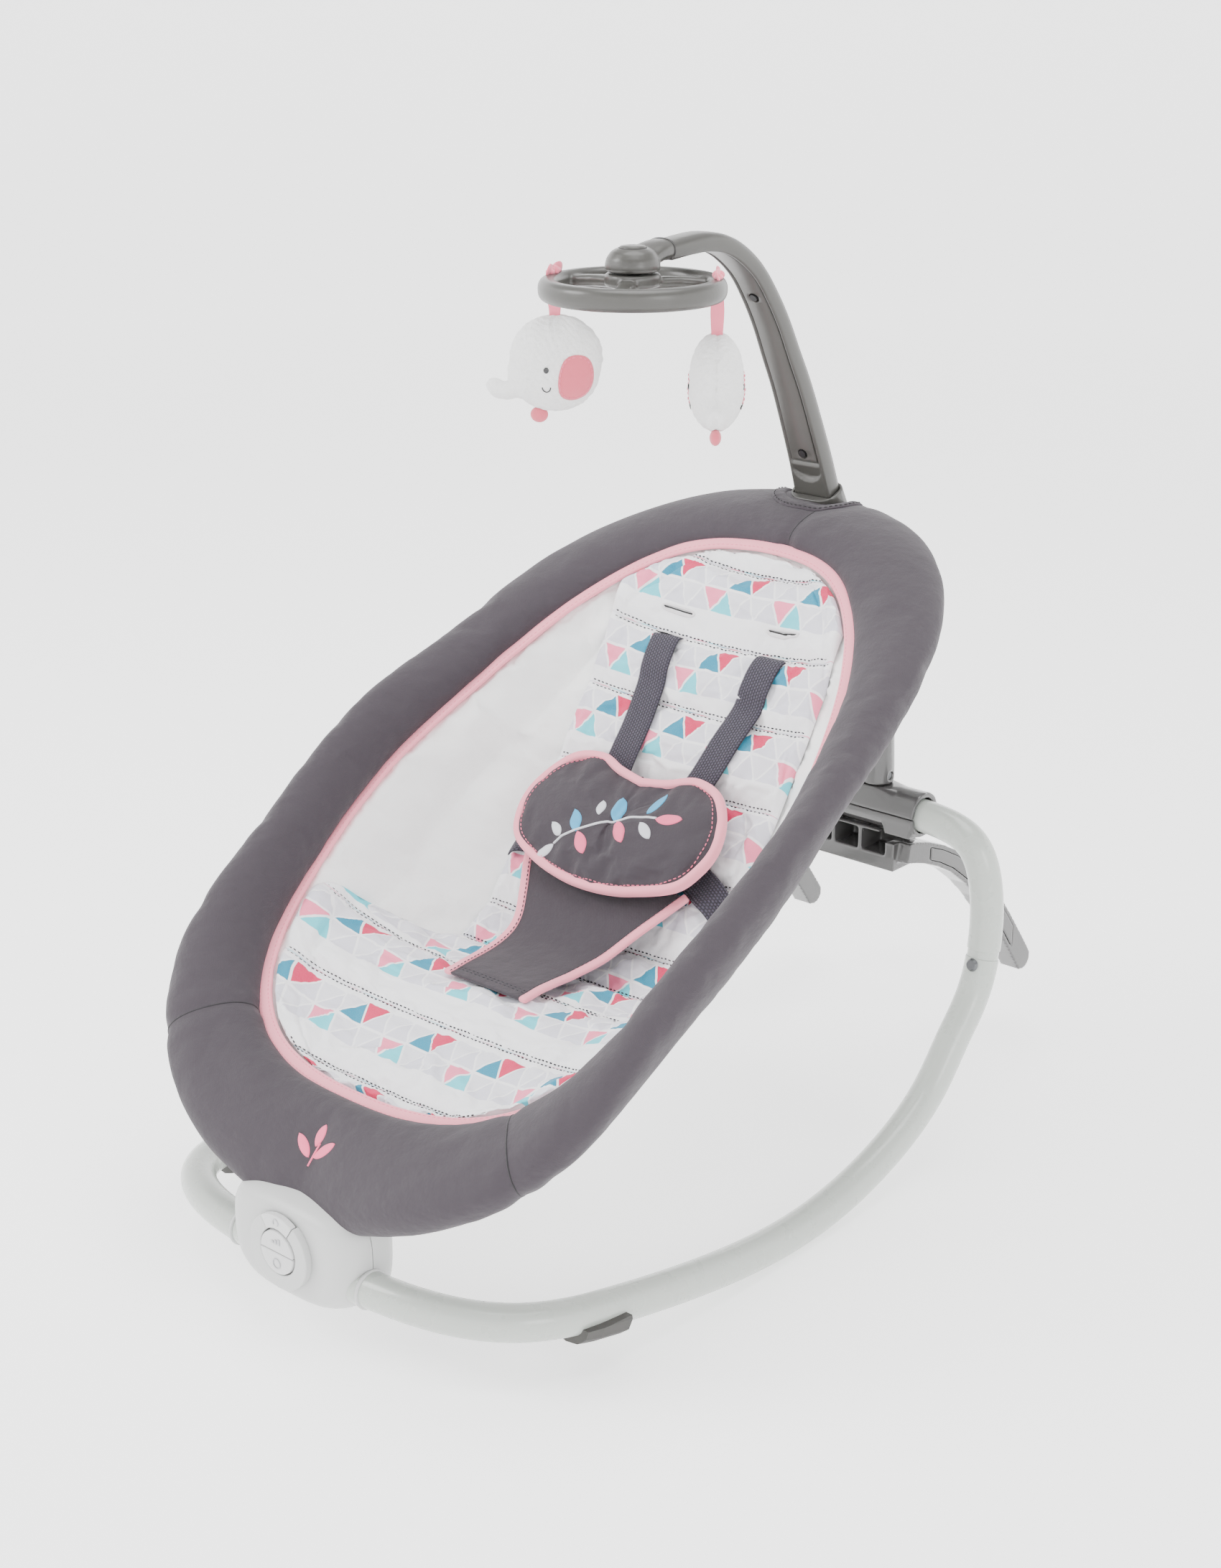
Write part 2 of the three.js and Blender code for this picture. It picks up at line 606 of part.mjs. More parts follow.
function seatSheet(rows, across, top, bottom) {
  const m = across(0).length;
  return skin(rows.map((v) => {
    const xs = across(v);
    const over = xs.map((x) => seatPoint(x, v, top(x, v)));
    const under = xs.map((x) => seatPoint(x, v, bottom(x, v)));
    return [...over, ...under.reverse()];
  }), false, (j) => j >= m);
}

const ROWS = Array.from({ length: 27 }, (_, i) => 260 - 20 * i);
const linerAcross = (v) => [-1, -0.9, -0.5, 0, 0.5, 0.9, 1].map((k) => k * linerHalfWidth(v));

function clothAcross(v) {
  const h = Math.max(linerHalfWidth(v), 8);
  const X = Math.max(insetHalfWidth(v, 1.5), h + 6);
  const side = [1, 0.66, 0.33].map((k) => h + (X - h) * k);
  return [...side.map((x) => -x), ...[-1, -0.9, -0.5, 0, 0.5, 0.9, 1].map((k) => k * h), ...side.reverse()];
}

function clothTop(x, v) {
  const rim = insetHalfWidth(v, 10);
  const edge = Math.min(Math.max((rim - Math.abs(x)) / 22, 0), 1);
  const end = Math.min(Math.max((262 - Math.abs(v)) / 22, 0), 1);
  const k = Math.min(edge, end);
  return bowl(x, v) * k - 6 - (SLING_DROP - 6) * k;
}

function sling() {
  return seatSheet(ROWS, clothAcross, clothTop, (x, v) => clothTop(x, v) - SLING_T - 1.5);
}

function linerTop(x, v) {
  const h = linerHalfWidth(v);
  const side = Math.min(Math.max((h - Math.abs(x)) / 10, 0), 1);
  const end = Math.min(Math.max((250 - Math.abs(v)) / 14, 0), 1);
  return clothTop(x, v) + 5 + (PAD_T - 4) * Math.sqrt(side) * end;
}

function liner() {
  const rows = ROWS.filter((v) => Math.abs(v) < 245);
  const body = seatSheet(rows, linerAcross, linerTop, (x, v) => clothTop(x, v) + 1);
  const slots = [49.5, -49.5].map((x) => {
    const n = linerTop(x, 178);
    const c = seatPoint(x, 179, n);
    const q = new THREE.Matrix4().makeRotationX(rad(SEAT_TILT)).setPosition(c);
    return box(-15, 15, -4.5, 4.5, -30, 30).transform(q.toArray());
  });
  return body.subtract(slots[0]).subtract(slots[1]);
}

// harness webbing follows the liner a little above it
function strap(points, width, thick, side) {
  const curve = new THREE.CatmullRomCurve3(points).getPoints(8);
  return skin(frames(curve, side).map(({ p, s, u }) => {
    const w = u.clone().multiplyScalar(width / 2);
    const h = s.clone().multiplyScalar(thick / 2);
    const at = (a, b) => p.clone().addScaledVector(w, a).addScaledVector(h, b);
    return [at(1, 1), at(-1, 1), at(-1, -1), at(1, -1)];
  }), false);
}

const above = (x, v, n) => seatPoint(x, v, linerTop(x, v) + n);

function shoulderStrap() {
  const pts = [above(49.5, 179, -3), above(49.5, 177, 3), above(48, 166, 4), above(45, 140, 4),
    above(42, 110, 5), above(38, 79, 7)];
  return strap(pts, HARNESS_W, 1.8, V(1, 0, 0));
}

function waistStrap() {
  const pts = [above(62, 14, 7), above(76, 8, 7), above(90, 0, 6)];
  return strap(pts, HARNESS_W, 1.8, V(0, CT, ST));
}

function crotchPiece() {
  const stations = [[-132, 37, 2], [-118, 37, 3], [-95, 38.5, 3], [-70, 43, 22],
    [-45, 50, 26], [-25, 57, 22]];
  const rings = stations.map(([v, half, lift]) => {
    const n = linerTop(0, v) + lift;
    const edge = (x, up) => seatPoint(x, v, n + up);
    return [edge(-half, 3), edge(half, 3), edge(half, 0), edge(-half, 0)];
  });
  return skin(rings, false);
}

// kidney outline: two lobes and a shallow notch at the top
function bellyPad() {
  const half = [[0, 38], [24, 43], [46, 50], [70, 43], [86, 20], [90, -4], [80, -29],
    [56, -42], [28, -49.5], [0, -52]];
  const mirrored = half.slice(1, -1).reverse().map(([x, v]) => [-x, v]);
  const loop = new THREE.CatmullRomCurve3([...half, ...mirrored].map(([x, v]) => V(x, v, 0)), true);
  const outline = loop.getPoints(40).slice(0, -1).reverse().map((p) => [p.x, p.y]);
  const m = new THREE.Matrix4().makeRotationX(rad(SEAT_TILT + 8)).setPosition(seatPoint(0, 22, -52));
  return slab(outline, 11).transform(m.toArray());
}

// ---------------------------------------------------------------- toy bar
const ARM = [[231.4, 458.7], [228, 467], [216.5, 497], [203, 528], [190, 556], [177, 580], [163.5, 605],
  [149.5, 626], [134.5, 644], [117, 657.5], [99, 666], [79, 669.5], [59, 669], [38, 667]];
const armWidth = (t) => 33 - 11 * t;
const armDepth = (t) => 20 - 8 * t;

function armSkin(k, from, to) {
  const curve = new THREE.CatmullRomCurve3(ARM.map(([y, z]) => V(0, y, z))).getPoints(26);
  const n = curve.length - 1;
  const all = frames(curve, V(1, 0, 0)).map((f, i) => ({ ...f, t: i / n }));
  const pick = all.filter(({ t }) => t >= from && t <= to);
  return { pick, k };
}

// D section, flat side towards the child
function barBody(k, from, to) {
  return skin(armSkin(0, from, to).pick.map(({ p, s, t }) => {
    const w = armWidth(t) / 2 + k;
    const d = armDepth(t) / 2 + k;
    const o = s.y > 0 || s.z > 0 ? 1 : -1;
    const half = [[w, -d], [w, d * 0.3], [w * 0.72, d * 0.85], [0, d]];
    const outline = [...half, ...half.slice(0, -1).reverse().map(([x, y]) => [-x, y])];
    return outline.map(([x, y]) => V(x, p.y + s.y * y * o, p.z + s.z * y * o));
  }), false);
}

// toy bar with a shallow tray for its cover
const barShell = () => barBody(0, 0, 1).subtract(barTray(0.4, -30));

function barTray(k, deep) {
  const { pick } = armSkin(0, 0.09, 0.84);
  const rings = pick.map(({ p, s, t }) => {
    const w = armWidth(t) / 2 - 3.4 + k;
    const d = armDepth(t) / 2;
    const o = s.y > 0 || s.z > 0 ? 1 : -1;
    const top = deep < 0 ? -d - 4 : -d + 0.1;
    const outline = [[w, top], [w, -d + 2.2 + k], [-w, -d + 2.2 + k], [-w, top]];
    return outline.map(([x, y]) => V(x, p.y + s.y * y * o, p.z + s.z * y * o));
  });
  return skin(rings, false);
}

function armPoint(z) {
  const curve = new THREE.CatmullRomCurve3(ARM.map(([y, q]) => V(0, y, q))).getPoints(200);
  const i = curve.findIndex((p) => p.z > z);
  const t = curve[i + 1].clone().sub(curve[i]).normalize();
  const inward = V(0, -t.z, t.y);
  return { p: curve[i], inward, d: armDepth(i / 200) / 2 };
}

function coverScrew(z) {
  const { p, inward, d } = armPoint(z);
  const at = (k) => p.clone().addScaledVector(inward, d + k).toArray();
  return { body: cyl(at(-1.6), at(0.9), 3, 14), hole: cyl(at(-6), at(4), 3.4, 14) };
}

const SCREW_Z = [505, 628];
const barCover = () => SCREW_Z.reduce((m, z) => m.subtract(coverScrew(z).hole), barTray(0, 1));

// points down the foot of the toy bar
const barAxis = () => V(0, ARM[1][0] - ARM[3][0], ARM[1][1] - ARM[3][1]).normalize();

// flat-sided oval prism along the foot of the toy bar
function ovalAt(q0, q1, w, d, w1 = w, d1 = d) {
  const c = (q) => V(0, 228, 460).addScaledVector(barAxis(), q);
  const end = (q, ww, dd, x) => {
    const [a, b] = [c(q - 0.2), c(q + 0.2)];
    return cyl([x * (ww - dd), a.y, a.z], [x * (ww - dd), b.y, b.z], dd, 18);
  };
  return hull(end(q0, w, d, 1), end(q0, w, d, -1), end(q1, w1, d1, 1), end(q1, w1, d1, -1));
}

const barCollarEnvelope = (k) => ovalAt(-12 - k, 34, 21 + k, 14.5 + k, 25 + k, 16 + k);

function barCollar() {
  const socket = barBody(0.7, 0, 0.16);
  const travel = [1.6, 0, -4, -8, -12, -18, -26, -36].map((q) => {
    const d = barAxis().multiplyScalar(q);
    return socket.translate([d.x, d.y, d.z]);
  });
  const hollow = travel.reduce((m, cut) => m.subtract(cut), barCollarEnvelope(0));
  return hollow.subtract(seatTube(SEAT_TUBE_R + 0.6));
}

function knuckle() {
  const dome = cyl([0, RING.y, 656], [0, RING.y, 668], 17, 28, 14);
  const neck = ball([0, 27, 667.5], 9.6, 16, [1.15, 1, 0.8]);
  const cap = hull(neck, dome, cyl([0, 36.6, 667], [0, 37.2, 667], 7.5, 16));
  const socket = cyl([0, RING.y, 665.6], [0, RING.y, 680], 10.4, 24);
  return cap.subtract(socket).subtract(cyl([0, RING.y, 650], [0, RING.y, 661], 4.4, 18));
}

const hubCap = () => cyl([0, RING.y, 666], [0, RING.y, 669.6], 10, 24, 8.6);

function toyRing() {
  const seg = 32;
  const rings = Array.from({ length: seg }, (_, i) => {
    const a = (2 * Math.PI * i) / seg;
    const o = V(Math.cos(a), Math.sin(a), 0);
    return [[6, 3], [6, -4], [3.6, -7], [-3.6, -7], [-6, -4], [-6, 3], [-3, 6], [3, 6]]
      .map(([u, w]) => V(0, RING.y, RING.z).addScaledVector(o, RING.r + u).add(V(0, 0, w)));
  });
  let body = skin(rings, true);
  body = body.add(cyl([0, RING.y, 646], [0, RING.y, 655.4], 19, 24));
  body = body.add(cyl([0, RING.y, 650], [0, RING.y, 660.5], 4, 16));
  for (let i = 0; i < 3; i += 1) {
    const spoke = box(8, RING.r, -5, 5, 643, 651).rotate([0, 0, 60 + 120 * i]).translate([0, RING.y, 0]);
    body = body.add(spoke);
  }
  return body;
}

const TOY_X = [-54, 48];
const TOY_Y = [-10, 46];
const TOY_Z = [591, 582];

function ribbon(i) {
  const [x, y] = [TOY_X[i], TOY_Y[i]];
  const up = V(x, y - RING.y, 0).normalize();
  const cx = up.x * RING.r;
  const cy = RING.y + up.y * RING.r;
  const turn = (Math.atan2(up.y, up.x) * 180) / Math.PI;
  const outer = cyl([0, -6, RING.z - 0.5], [0, 6, RING.z - 0.5], 10.2, 14);
  const inner = cyl([0, -8, RING.z - 0.5], [0, 8, RING.z - 0.5], 8.9, 14);
  const tail = box(-1, 1, -6, 6, TOY_Z[i] + 26, RING.z - 9.6);
  const bow = hull(ball([0, -7, RING.z + 12.5], 4.4, 8), ball([0, 7, RING.z + 12.5], 4.4, 8));
  return outer.subtract(inner).add(tail).add(bow.subtract(box(-9, 9, -12, 12, 0, RING.z + 8.8)))
    .rotate([0, 0, turn]).translate([cx, cy, 0]);
}

function toy(i) {
  const up = V(TOY_X[i], TOY_Y[i] - RING.y, 0).normalize();
  const cx = up.x * RING.r;
  const cy = RING.y + up.y * RING.r;
  const z = TOY_Z[i];
  const body = ball([0, 0, z], 34, 16, [0.62, 1, 1]);
  const trunk = hull(ball([0, -26, z - 16], 9, 10), ball([0, -40, z - 20], 6.5, 10));
  const foot = hull(ball([0, 8, z - 30], 7, 10), ball([0, 10, z - 40], 5, 10));
  const turn = (Math.atan2(up.y, up.x) * 180) / Math.PI;
  const slot = box(-1.4, 1.4, -7, 7, z + 25.6, z + 60).rotate([0, 0, turn]);
  return body.add(trunk).add(foot).rotate([0, 0, i === 0 ? -52 : 38]).subtract(slot).translate([cx, cy, 0]);
}

// ---------------------------------------------------------------- assembly
// colour, roughness, metalness
const FINISH = {
  enamel: [0xd6d9d5, 0.32, 0.05],
  steel: [0x8f9296, 0.4, 0.9],
  unit: [0xe4e4e2, 0.38, 0],
  button: [0xececea, 0.35, 0],
  gloss: [0x737272, 0.22, 0],
  bar: [0x787874, 0.36, 0],
  rubber: [0x8d8f90, 0.85, 0],
  screw: [0x9a9da0, 0.35, 0.9],
  charcoal: [0x5f5961, 0.92, 0],
  pink: [0xf4c4cf, 0.85, 0],
  cloth: [0xf1f1ef, 0.92, 0],
  print: [0xf0f0f2, 0.9, 0],
  webbing: [0x44464f, 0.88, 0],
  plush: [0xf7f7f5, 0.95, 0],
  ribbon: [0xf3a9bd, 0.8, 0],
  cell: [0x3a3c40, 0.45, 0.4],
  board: [0x2f6b42, 0.6, 0],
};

const root = new THREE.Group();
root.name = 'bouncer_seat';
const model = new THREE.Group();
model.name = 'on_floor';
model.position.set(0, -ORIGIN_Y, -FLOOR_Z);
root.add(model);

function group(name) {
  const g = new THREE.Group();
  g.name = name;
  model.add(g);
  return g;
}

function put(parent, name, m, finish) {
  const mesh = m.getMesh();
  const g = new THREE.BufferGeometry();
  g.setAttribute('position', new THREE.BufferAttribute(new Float32Array(mesh.vertProperties), 3));
  g.setIndex(new THREE.BufferAttribute(new Uint32Array(mesh.triVerts), 1));
  const [color, roughness, metalness] = FINISH[finish];
  const node = new THREE.Mesh(g, new THREE.MeshStandardMaterial({ color, roughness, metalness }));
  node.name = name;
  parent.add(node);
}

// one solid on each side; the given one is on the side with that name
function pair(parent, name, m, finish, first = 'left') {
  put(parent, `${name}_${first}`, m, finish);
  put(parent, `${name}_${first === 'left' ? 'right' : 'left'}`, mirrorX(m), finish);
}

// boolean results keep only their main solid
const main = (m) => m.decompose().sort((a, b) => b.volume() - a.volume())[0];

const runners = group('runners');
pair(runners, 'front_rail', main(frontRail()), 'enamel');
pair(runners, 'rear_tube', main(rearTube()), 'enamel');
pair(runners, 'splice_screw', spliceScrew(), 'screw');
pair(runners, 'front_foot', main(frontFoot()), 'rubber');

const unit = group('vibration_unit');
put(unit, 'unit_front_shell', main(unitFront()), 'unit');
put(unit, 'unit_rear_shell', main(unitRear()), 'unit');
put(unit, 'dial_ring', main(dialRing()), 'unit');
put(unit, 'dial_top_button', main(topButton()), 'button');
put(unit, 'upper_button', main(innerButton(true)), 'button');
put(unit, 'power_button', main(innerButton(false)), 'button');
put(unit, 'battery_door', main(batteryDoor()), 'unit');
put(unit, 'door_screw', main(doorScrew()), 'screw');
put(unit, 'battery_upper', battery(83), 'cell');
put(unit, 'battery_lower', battery(68.4), 'cell');
put(unit, 'circuit_board', circuitBoard(), 'board');
put(unit, 'vibration_motor', motorCan(), 'steel');
put(unit, 'motor_weight', main(motorWeight()), 'steel');
put(unit, 'front_bracket', main(frontBracket()), 'gloss');

const rear = group('rear_stand');
put(rear, 'rear_housing_upper', main(rearHousing(true)), 'gloss');
put(rear, 'rear_housing_lower', main(rearHousing(false)), 'gloss');
pair(rear, 'seat_post', main(seatPost()), 'gloss');
pair(rear, 'post_screw', postScrew(), 'screw');
put(rear, 'kickstand', main(standFrame()), 'gloss');
pair(rear, 'stand_cover', main(standCover()), 'gloss');
pair(rear, 'stand_screw', standScrew(), 'screw');

const seat = group('seat');
put(seat, 'seat_frame_tube', main(seatFrame()), 'steel');
put(seat, 'padded_border', main(border()), 'charcoal');
put(seat, 'piping', piping(), 'pink');
put(seat, 'seat_sling', sling(), 'cloth');
put(seat, 'quilted_liner', main(liner()), 'print');
pair(seat, 'shoulder_strap', shoulderStrap(), 'webbing');
pair(seat, 'waist_strap', waistStrap(), 'webbing');
put(seat, 'crotch_piece', crotchPiece(), 'charcoal');
put(seat, 'belly_pad', bellyPad(), 'charcoal');

const toys = group('toy_bar_set');
put(toys, 'bar_collar', main(barCollar()), 'bar');
put(toys, 'toy_bar', main(barShell()), 'bar');
put(toys, 'bar_cover', main(barCover()), 'bar');
put(toys, 'cover_screw_lower', coverScrew(SCREW_Z[0]).body, 'screw');
put(toys, 'cover_screw_upper', coverScrew(SCREW_Z[1]).body, 'screw');
put(toys, 'hub_knuckle', main(knuckle()), 'bar');
put(toys, 'hub_cap', hubCap(), 'bar');
put(toys, 'toy_ring', main(toyRing()), 'bar');
put(toys, 'ribbon_right', main(ribbon(0)), 'ribbon');
put(toys, 'ribbon_left', main(ribbon(1)), 'ribbon');
put(toys, 'toy_right', main(toy(0)), 'plush');
put(toys, 'toy_left', main(toy(1)), 'plush');

export default root;
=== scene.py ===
import math

import bmesh
import bpy
import numpy as np
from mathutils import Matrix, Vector
from mathutils.bvhtree import BVHTree


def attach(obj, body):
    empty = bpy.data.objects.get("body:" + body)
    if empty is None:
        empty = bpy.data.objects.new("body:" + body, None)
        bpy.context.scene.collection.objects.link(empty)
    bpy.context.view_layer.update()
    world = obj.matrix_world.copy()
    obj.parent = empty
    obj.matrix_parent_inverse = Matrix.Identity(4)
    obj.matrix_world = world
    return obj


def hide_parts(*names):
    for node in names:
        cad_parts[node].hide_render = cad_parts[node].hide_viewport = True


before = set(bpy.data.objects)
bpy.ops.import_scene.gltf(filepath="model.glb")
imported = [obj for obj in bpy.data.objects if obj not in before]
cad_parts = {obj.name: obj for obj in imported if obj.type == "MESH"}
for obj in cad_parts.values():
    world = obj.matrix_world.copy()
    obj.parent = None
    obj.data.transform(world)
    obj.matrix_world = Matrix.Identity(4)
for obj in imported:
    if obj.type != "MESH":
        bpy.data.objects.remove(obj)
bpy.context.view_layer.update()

MM = 0.001
X_AXIS, Y_AXIS, Z_AXIS = np.eye(3)
SIDES = (("left", 1), ("right", -1))

# ---------------------------------------------------------------- seat shape
SEAT_TILT = math.radians(34.03)
CT, ST = math.cos(SEAT_TILT), math.sin(SEAT_TILT)
SEAT_MID = (-70.0, 291.24)
SEAT_HALF = [(0, 267.9), (78.4, 258.3), (140.2, 171.2), (163.9, 77.1), (189.4, -12.2), (180.9, -106.5),
             (162.8, -193.8), (102.1, -258.4), (0, -268.9)]
ROLL_W = [83, 65, 46, 47, 51, 70, 82]
ROLL_H = [35, 34, 32, 30, 31, 38, 40]
ROLL_TILT = [-25, -14, 16, 60, 57, 11, -20]
SLING = [(268, -1), (235, -5), (200, -11), (172, -22), (128, -40), (85, -54), (47, -65), (0, -79), (-40, -90),
         (-70, -93), (-95, -78), (-126, -46), (-150, -32), (-175, -24), (-220, -15), (-250, -8), (-268, -1)]
PAD_HALF_W, SLING_DROP = 104.0, 14.0
SEAMS = [240, 180, 131, 74, 15, -45, -81, -119, -178, -243]      # quilting lines across the liner
BORDER_SEAMS = [(14.7, 264.3), (122.8, -231.8), (-122.8, -231.8)]

NORMAL = np.array([0, -ST, CT])
SEAT_ORIGIN = np.array([0, SEAT_MID[0], SEAT_MID[1]])


def seat_point(x, v, n):
    x, v, n = np.broadcast_arrays(np.asarray(x, float), np.asarray(v, float), np.asarray(n, float))
    return np.stack([x, SEAT_MID[0] + v * CT - n * ST, SEAT_MID[1] + v * ST + n * CT], -1)


def between(a, b, c, d, t):
    """Catmull-Rom curve from b, where t is 0, to c, where t is 1."""
    return b + 0.5 * t * (c - a + t * (2 * a - 5 * b + 4 * c - d + t * (3 * (b - c) + d - a)))


def table(values, s):
    """Smooth curve through evenly spaced values, s from 0 to 1."""
    last = len(values) - 1
    k = min(max(s, 0), 1) * last
    i = min(int(k), last - 1)
    return between(*(values[min(max(j, 0), last)] for j in range(i - 1, i + 3)), k - i)


def hermite(pairs, v):
    """Smooth curve through (place, value) pairs."""
    t = np.array(sorted(pairs), float)
    x, y = t[:, 0], t[:, 1]
    lo, hi = np.maximum(np.arange(len(x)) - 1, 0), np.minimum(np.arange(len(x)) + 1, len(x) - 1)
    m = (y[hi] - y[lo]) / (x[hi] - x[lo])
    v = np.clip(v, x[0], x[-1])
    i = np.clip(np.searchsorted(x, v, side="right") - 1, 0, len(x) - 2)
    h = x[i + 1] - x[i]
    q = (v - x[i]) / h
    return ((2 * q**3 - 3 * q**2 + 1) * y[i] + (q**3 - 2 * q**2 + q) * h * m[i]
            + (-2 * q**3 + 3 * q**2) * y[i + 1] + (q**3 - q**2) * h * m[i + 1])


def closed_spline(ctrl, per):
    q = np.array(ctrl, float)
    out = []
    for i in range(len(q)):
        for t in np.arange(per) / per:
            b = [(1 - t) ** 3 / 6, (3 * t**3 - 6 * t * t + 4) / 6, (-3 * t**3 + 3 * t * t + 3 * t + 1) / 6,
                 t**3 / 6]
            out.append(sum(b[j] * q[(i + j - 1) % len(q)] for j in range(4)))
    return np.array(out)


def run_of(line):
    """Length along a line at each of its points."""
    return np.concatenate([[0], np.cumsum(np.linalg.norm(np.diff(line, axis=0), axis=1))])


def at_run(line, run, where):
    """Places of a line at given lengths along it."""
    return np.stack([np.interp(where, run, line[:, k]) for k in range(line.shape[1])], -1)


def resampled(loop, n):
    """Closed line with n evenly spaced points, and its length."""
    p = np.vstack([loop, loop[:1]])
    run = run_of(p)
    return at_run(p, run, np.arange(n) / n * run[-1]), run[-1]


def both_sides(half):
    """Closed outline from its +X half, which starts and ends on the middle line."""
    return half + [(-x, v) for x, v in half[1:-1][::-1]]


RIM, RIM_LENGTH = resampled(closed_spline(both_sides(SEAT_HALF), 24), 400)
RIM_T = np.roll(RIM, -1, 0) - np.roll(RIM, 1, 0)
RIM_T /= np.linalg.norm(RIM_T, axis=1)[:, None]
RIM_OUT = np.stack([RIM_T[:, 1], -RIM_T[:, 0]], 1)
RIM_OUT *= np.sign((RIM_OUT * RIM).sum(1))[:, None]
RIM_S = np.arange(len(RIM)) / len(RIM) * 2
RIM_START = np.argmin(np.abs(RIM[:, 0]) + (RIM[:, 1] < 0) * 1e3)
RIM_S = (RIM_S - RIM_S[RIM_START]) % 2
RIM_S = np.where(RIM_S > 1, 2 - RIM_S, RIM_S)


def half_width(v, inset):
    q = RIM - RIM_OUT * inset
    q = q[q[:, 0] >= -0.01]
    q = q[np.argsort(q[:, 1])]
    return np.interp(v, q[:, 1], q[:, 0], left=0, right=0)


def liner_half(v):
    rim = half_width(v, 11.0)
    wide = 1 / (1 + np.exp((v + 104) / 5))
    return np.minimum(rim, PAD_HALF_W + np.maximum(rim - PAD_HALF_W, 0) * wide)


def bowl(x, v):
    """Top of the seat surface, along the seat normal."""
    edge = np.maximum(half_width(v, 0), 12)
    flat = np.minimum(PAD_HALF_W, edge * 0.62)
    d = hermite(SLING, v)
    a = np.abs(x)
    side = (d + 5) * (1 - np.clip((a - flat) / np.maximum(edge - flat, 1e-6), 0, None) ** 1.15)
    return np.where(a <= flat, d + 5 * (a / flat) ** 2, side)


def cloth_top(x, v):
    near = np.clip((half_width(v, 10) - np.abs(x)) / 22, 0, 1)
    k = np.minimum(near, np.clip((262 - np.abs(v)) / 22, 0, 1))
    return bowl(x, v) * k - 6 - (SLING_DROP - 6) * k


def smooth_noise(shape, cells, seed=0, wrap=(False, False)):
    """Seeded soft noise on a grid, about -1 to 1, with `cells` bumps each way."""
    g = np.random.default_rng(seed).uniform(-1, 1, (cells[0] + 1, cells[1] + 1))
    if wrap[0]:
        g[-1] = g[0]
    if wrap[1]:
        g[:, -1] = g[:, 0]
    y, x = (np.linspace(0, c, n) for c, n in zip(cells, shape))
    i, j = (np.minimum(q.astype(int), c - 1) for q, c in zip((y, x), cells))
    fy, fx = (q * q * (3 - 2 * q) for q in ((y - i)[:, None], (x - j)[None]))
    near, far = (g[k][:, j] * (1 - fx) + g[k][:, j + 1] * fx for k in (i, i + 1))
    return near * (1 - fy) + far * fy


# ---------------------------------------------------------------- mesh tools
def unit(v):
    v = np.asarray(v, float)
    return v / np.maximum(np.linalg.norm(v, axis=-1, keepdims=True), 1e-12)


def catmull(points, n):
    """Open smooth line through points, n+1 samples evenly spaced."""
    p = np.array(points, float)
    p = np.vstack([2 * p[0] - p[1], p, 2 * p[-1] - p[-2]])
    fine = [between(*p[i - 1:i + 3], t) for i in range(1, len(p) - 2) for t in np.arange(24) / 24]
    fine = np.array(fine + [p[-2]])
    run = run_of(fine)
    return at_run(fine, run, np.linspace(0, run[-1], n + 1))


def clamped_bspline(ctrl, n):
    """Cubic B-spline with clamped ends."""
    q = np.array(ctrl, float)
    m = len(q)
    knots = np.concatenate([[0] * 3, np.arange(m - 2) / (m - 3), [1] * 3])
    out = []
    for u in np.minimum(np.linspace(0, 1, n + 1), 1 - 1e-9):
        k = min(max(np.searchsorted(knots, u, side="right") - 1, 3), m - 1)
        d = [q[k - 3 + j] for j in range(4)]
        for r in range(1, 4):
            for j in range(3, r - 1, -1):
                w = (u - knots[j + k - 3]) / (knots[j + 1 + k - r] - knots[j + k - 3])
                d[j] = (1 - w) * d[j - 1] + w * d[j]
        out.append(d[3])
    return np.array(out)


def frames(path, side=None, closed=False):
    """(point, tangent, side, up) along a path; side is a fixed reference or carried along."""
    p = np.asarray(path, float)
    t = unit(np.roll(p, -1, 0) - np.roll(p, 1, 0)) if closed else unit(np.gradient(p, axis=0))
    if side is not None:
        u = unit(np.cross(np.broadcast_to(side, p.shape), t))
        return p, t, unit(np.cross(t, u)), u
    up = Z_AXIS if abs(t[0][2]) < 0.9 else Y_AXIS
    s, u = [], []
    for tangent in t:
        up = unit(up - tangent * (up @ tangent))
        u.append(up)
        s.append(np.cross(tangent, up))
    return p, t, np.array(s), np.array(u)


def grid_faces(rows, cols, wrap_rows=False, wrap_cols=False):
    """Quads over a grid of points given row by row."""
    faces = []
    for i in range(rows if wrap_rows else rows - 1):
        a, b = i * cols, (i + 1) % rows * cols
        for j in range(cols if wrap_cols else cols - 1):
            q = (j + 1) % cols
            faces.append((a + j, a + q, b + q, b + j))
    return faces


def loft(rings, closed=False):
    """Skin over rings of equal size; open lofts are capped with a fan."""
    n, k = len(rings), len(rings[0])
    verts = np.concatenate([np.asarray(r, float) for r in rings])
    faces = grid_faces(n, k, closed, True)
    if not closed:
        for base, turn in ((0, 1), ((n - 1) * k, -1)):
            verts = np.vstack([verts, verts[base:base + k].mean(0)])
            c = len(verts) - 1
            faces += [(c, base + (j + 1) % k, base + j)[::turn] for j in range(k)]
    return verts, faces


def circle(r, n=24):
    a = np.arange(n) / n * 2 * math.pi
    return np.stack([r * np.cos(a), r * np.sin(a)], 1)


def squared(c, power):
    """Cosine or sine pushed outwards, for a superellipse of the given power."""
    return np.sign(c) * np.abs(c) ** (2 / power)


def oval(w, h, n=24, power=2.0):
    """Superellipse w by h."""
    a = np.arange(n) / n * 2 * math.pi
    return np.stack([w / 2 * squared(np.cos(a), power), h / 2 * squared(np.sin(a), power)], 1)


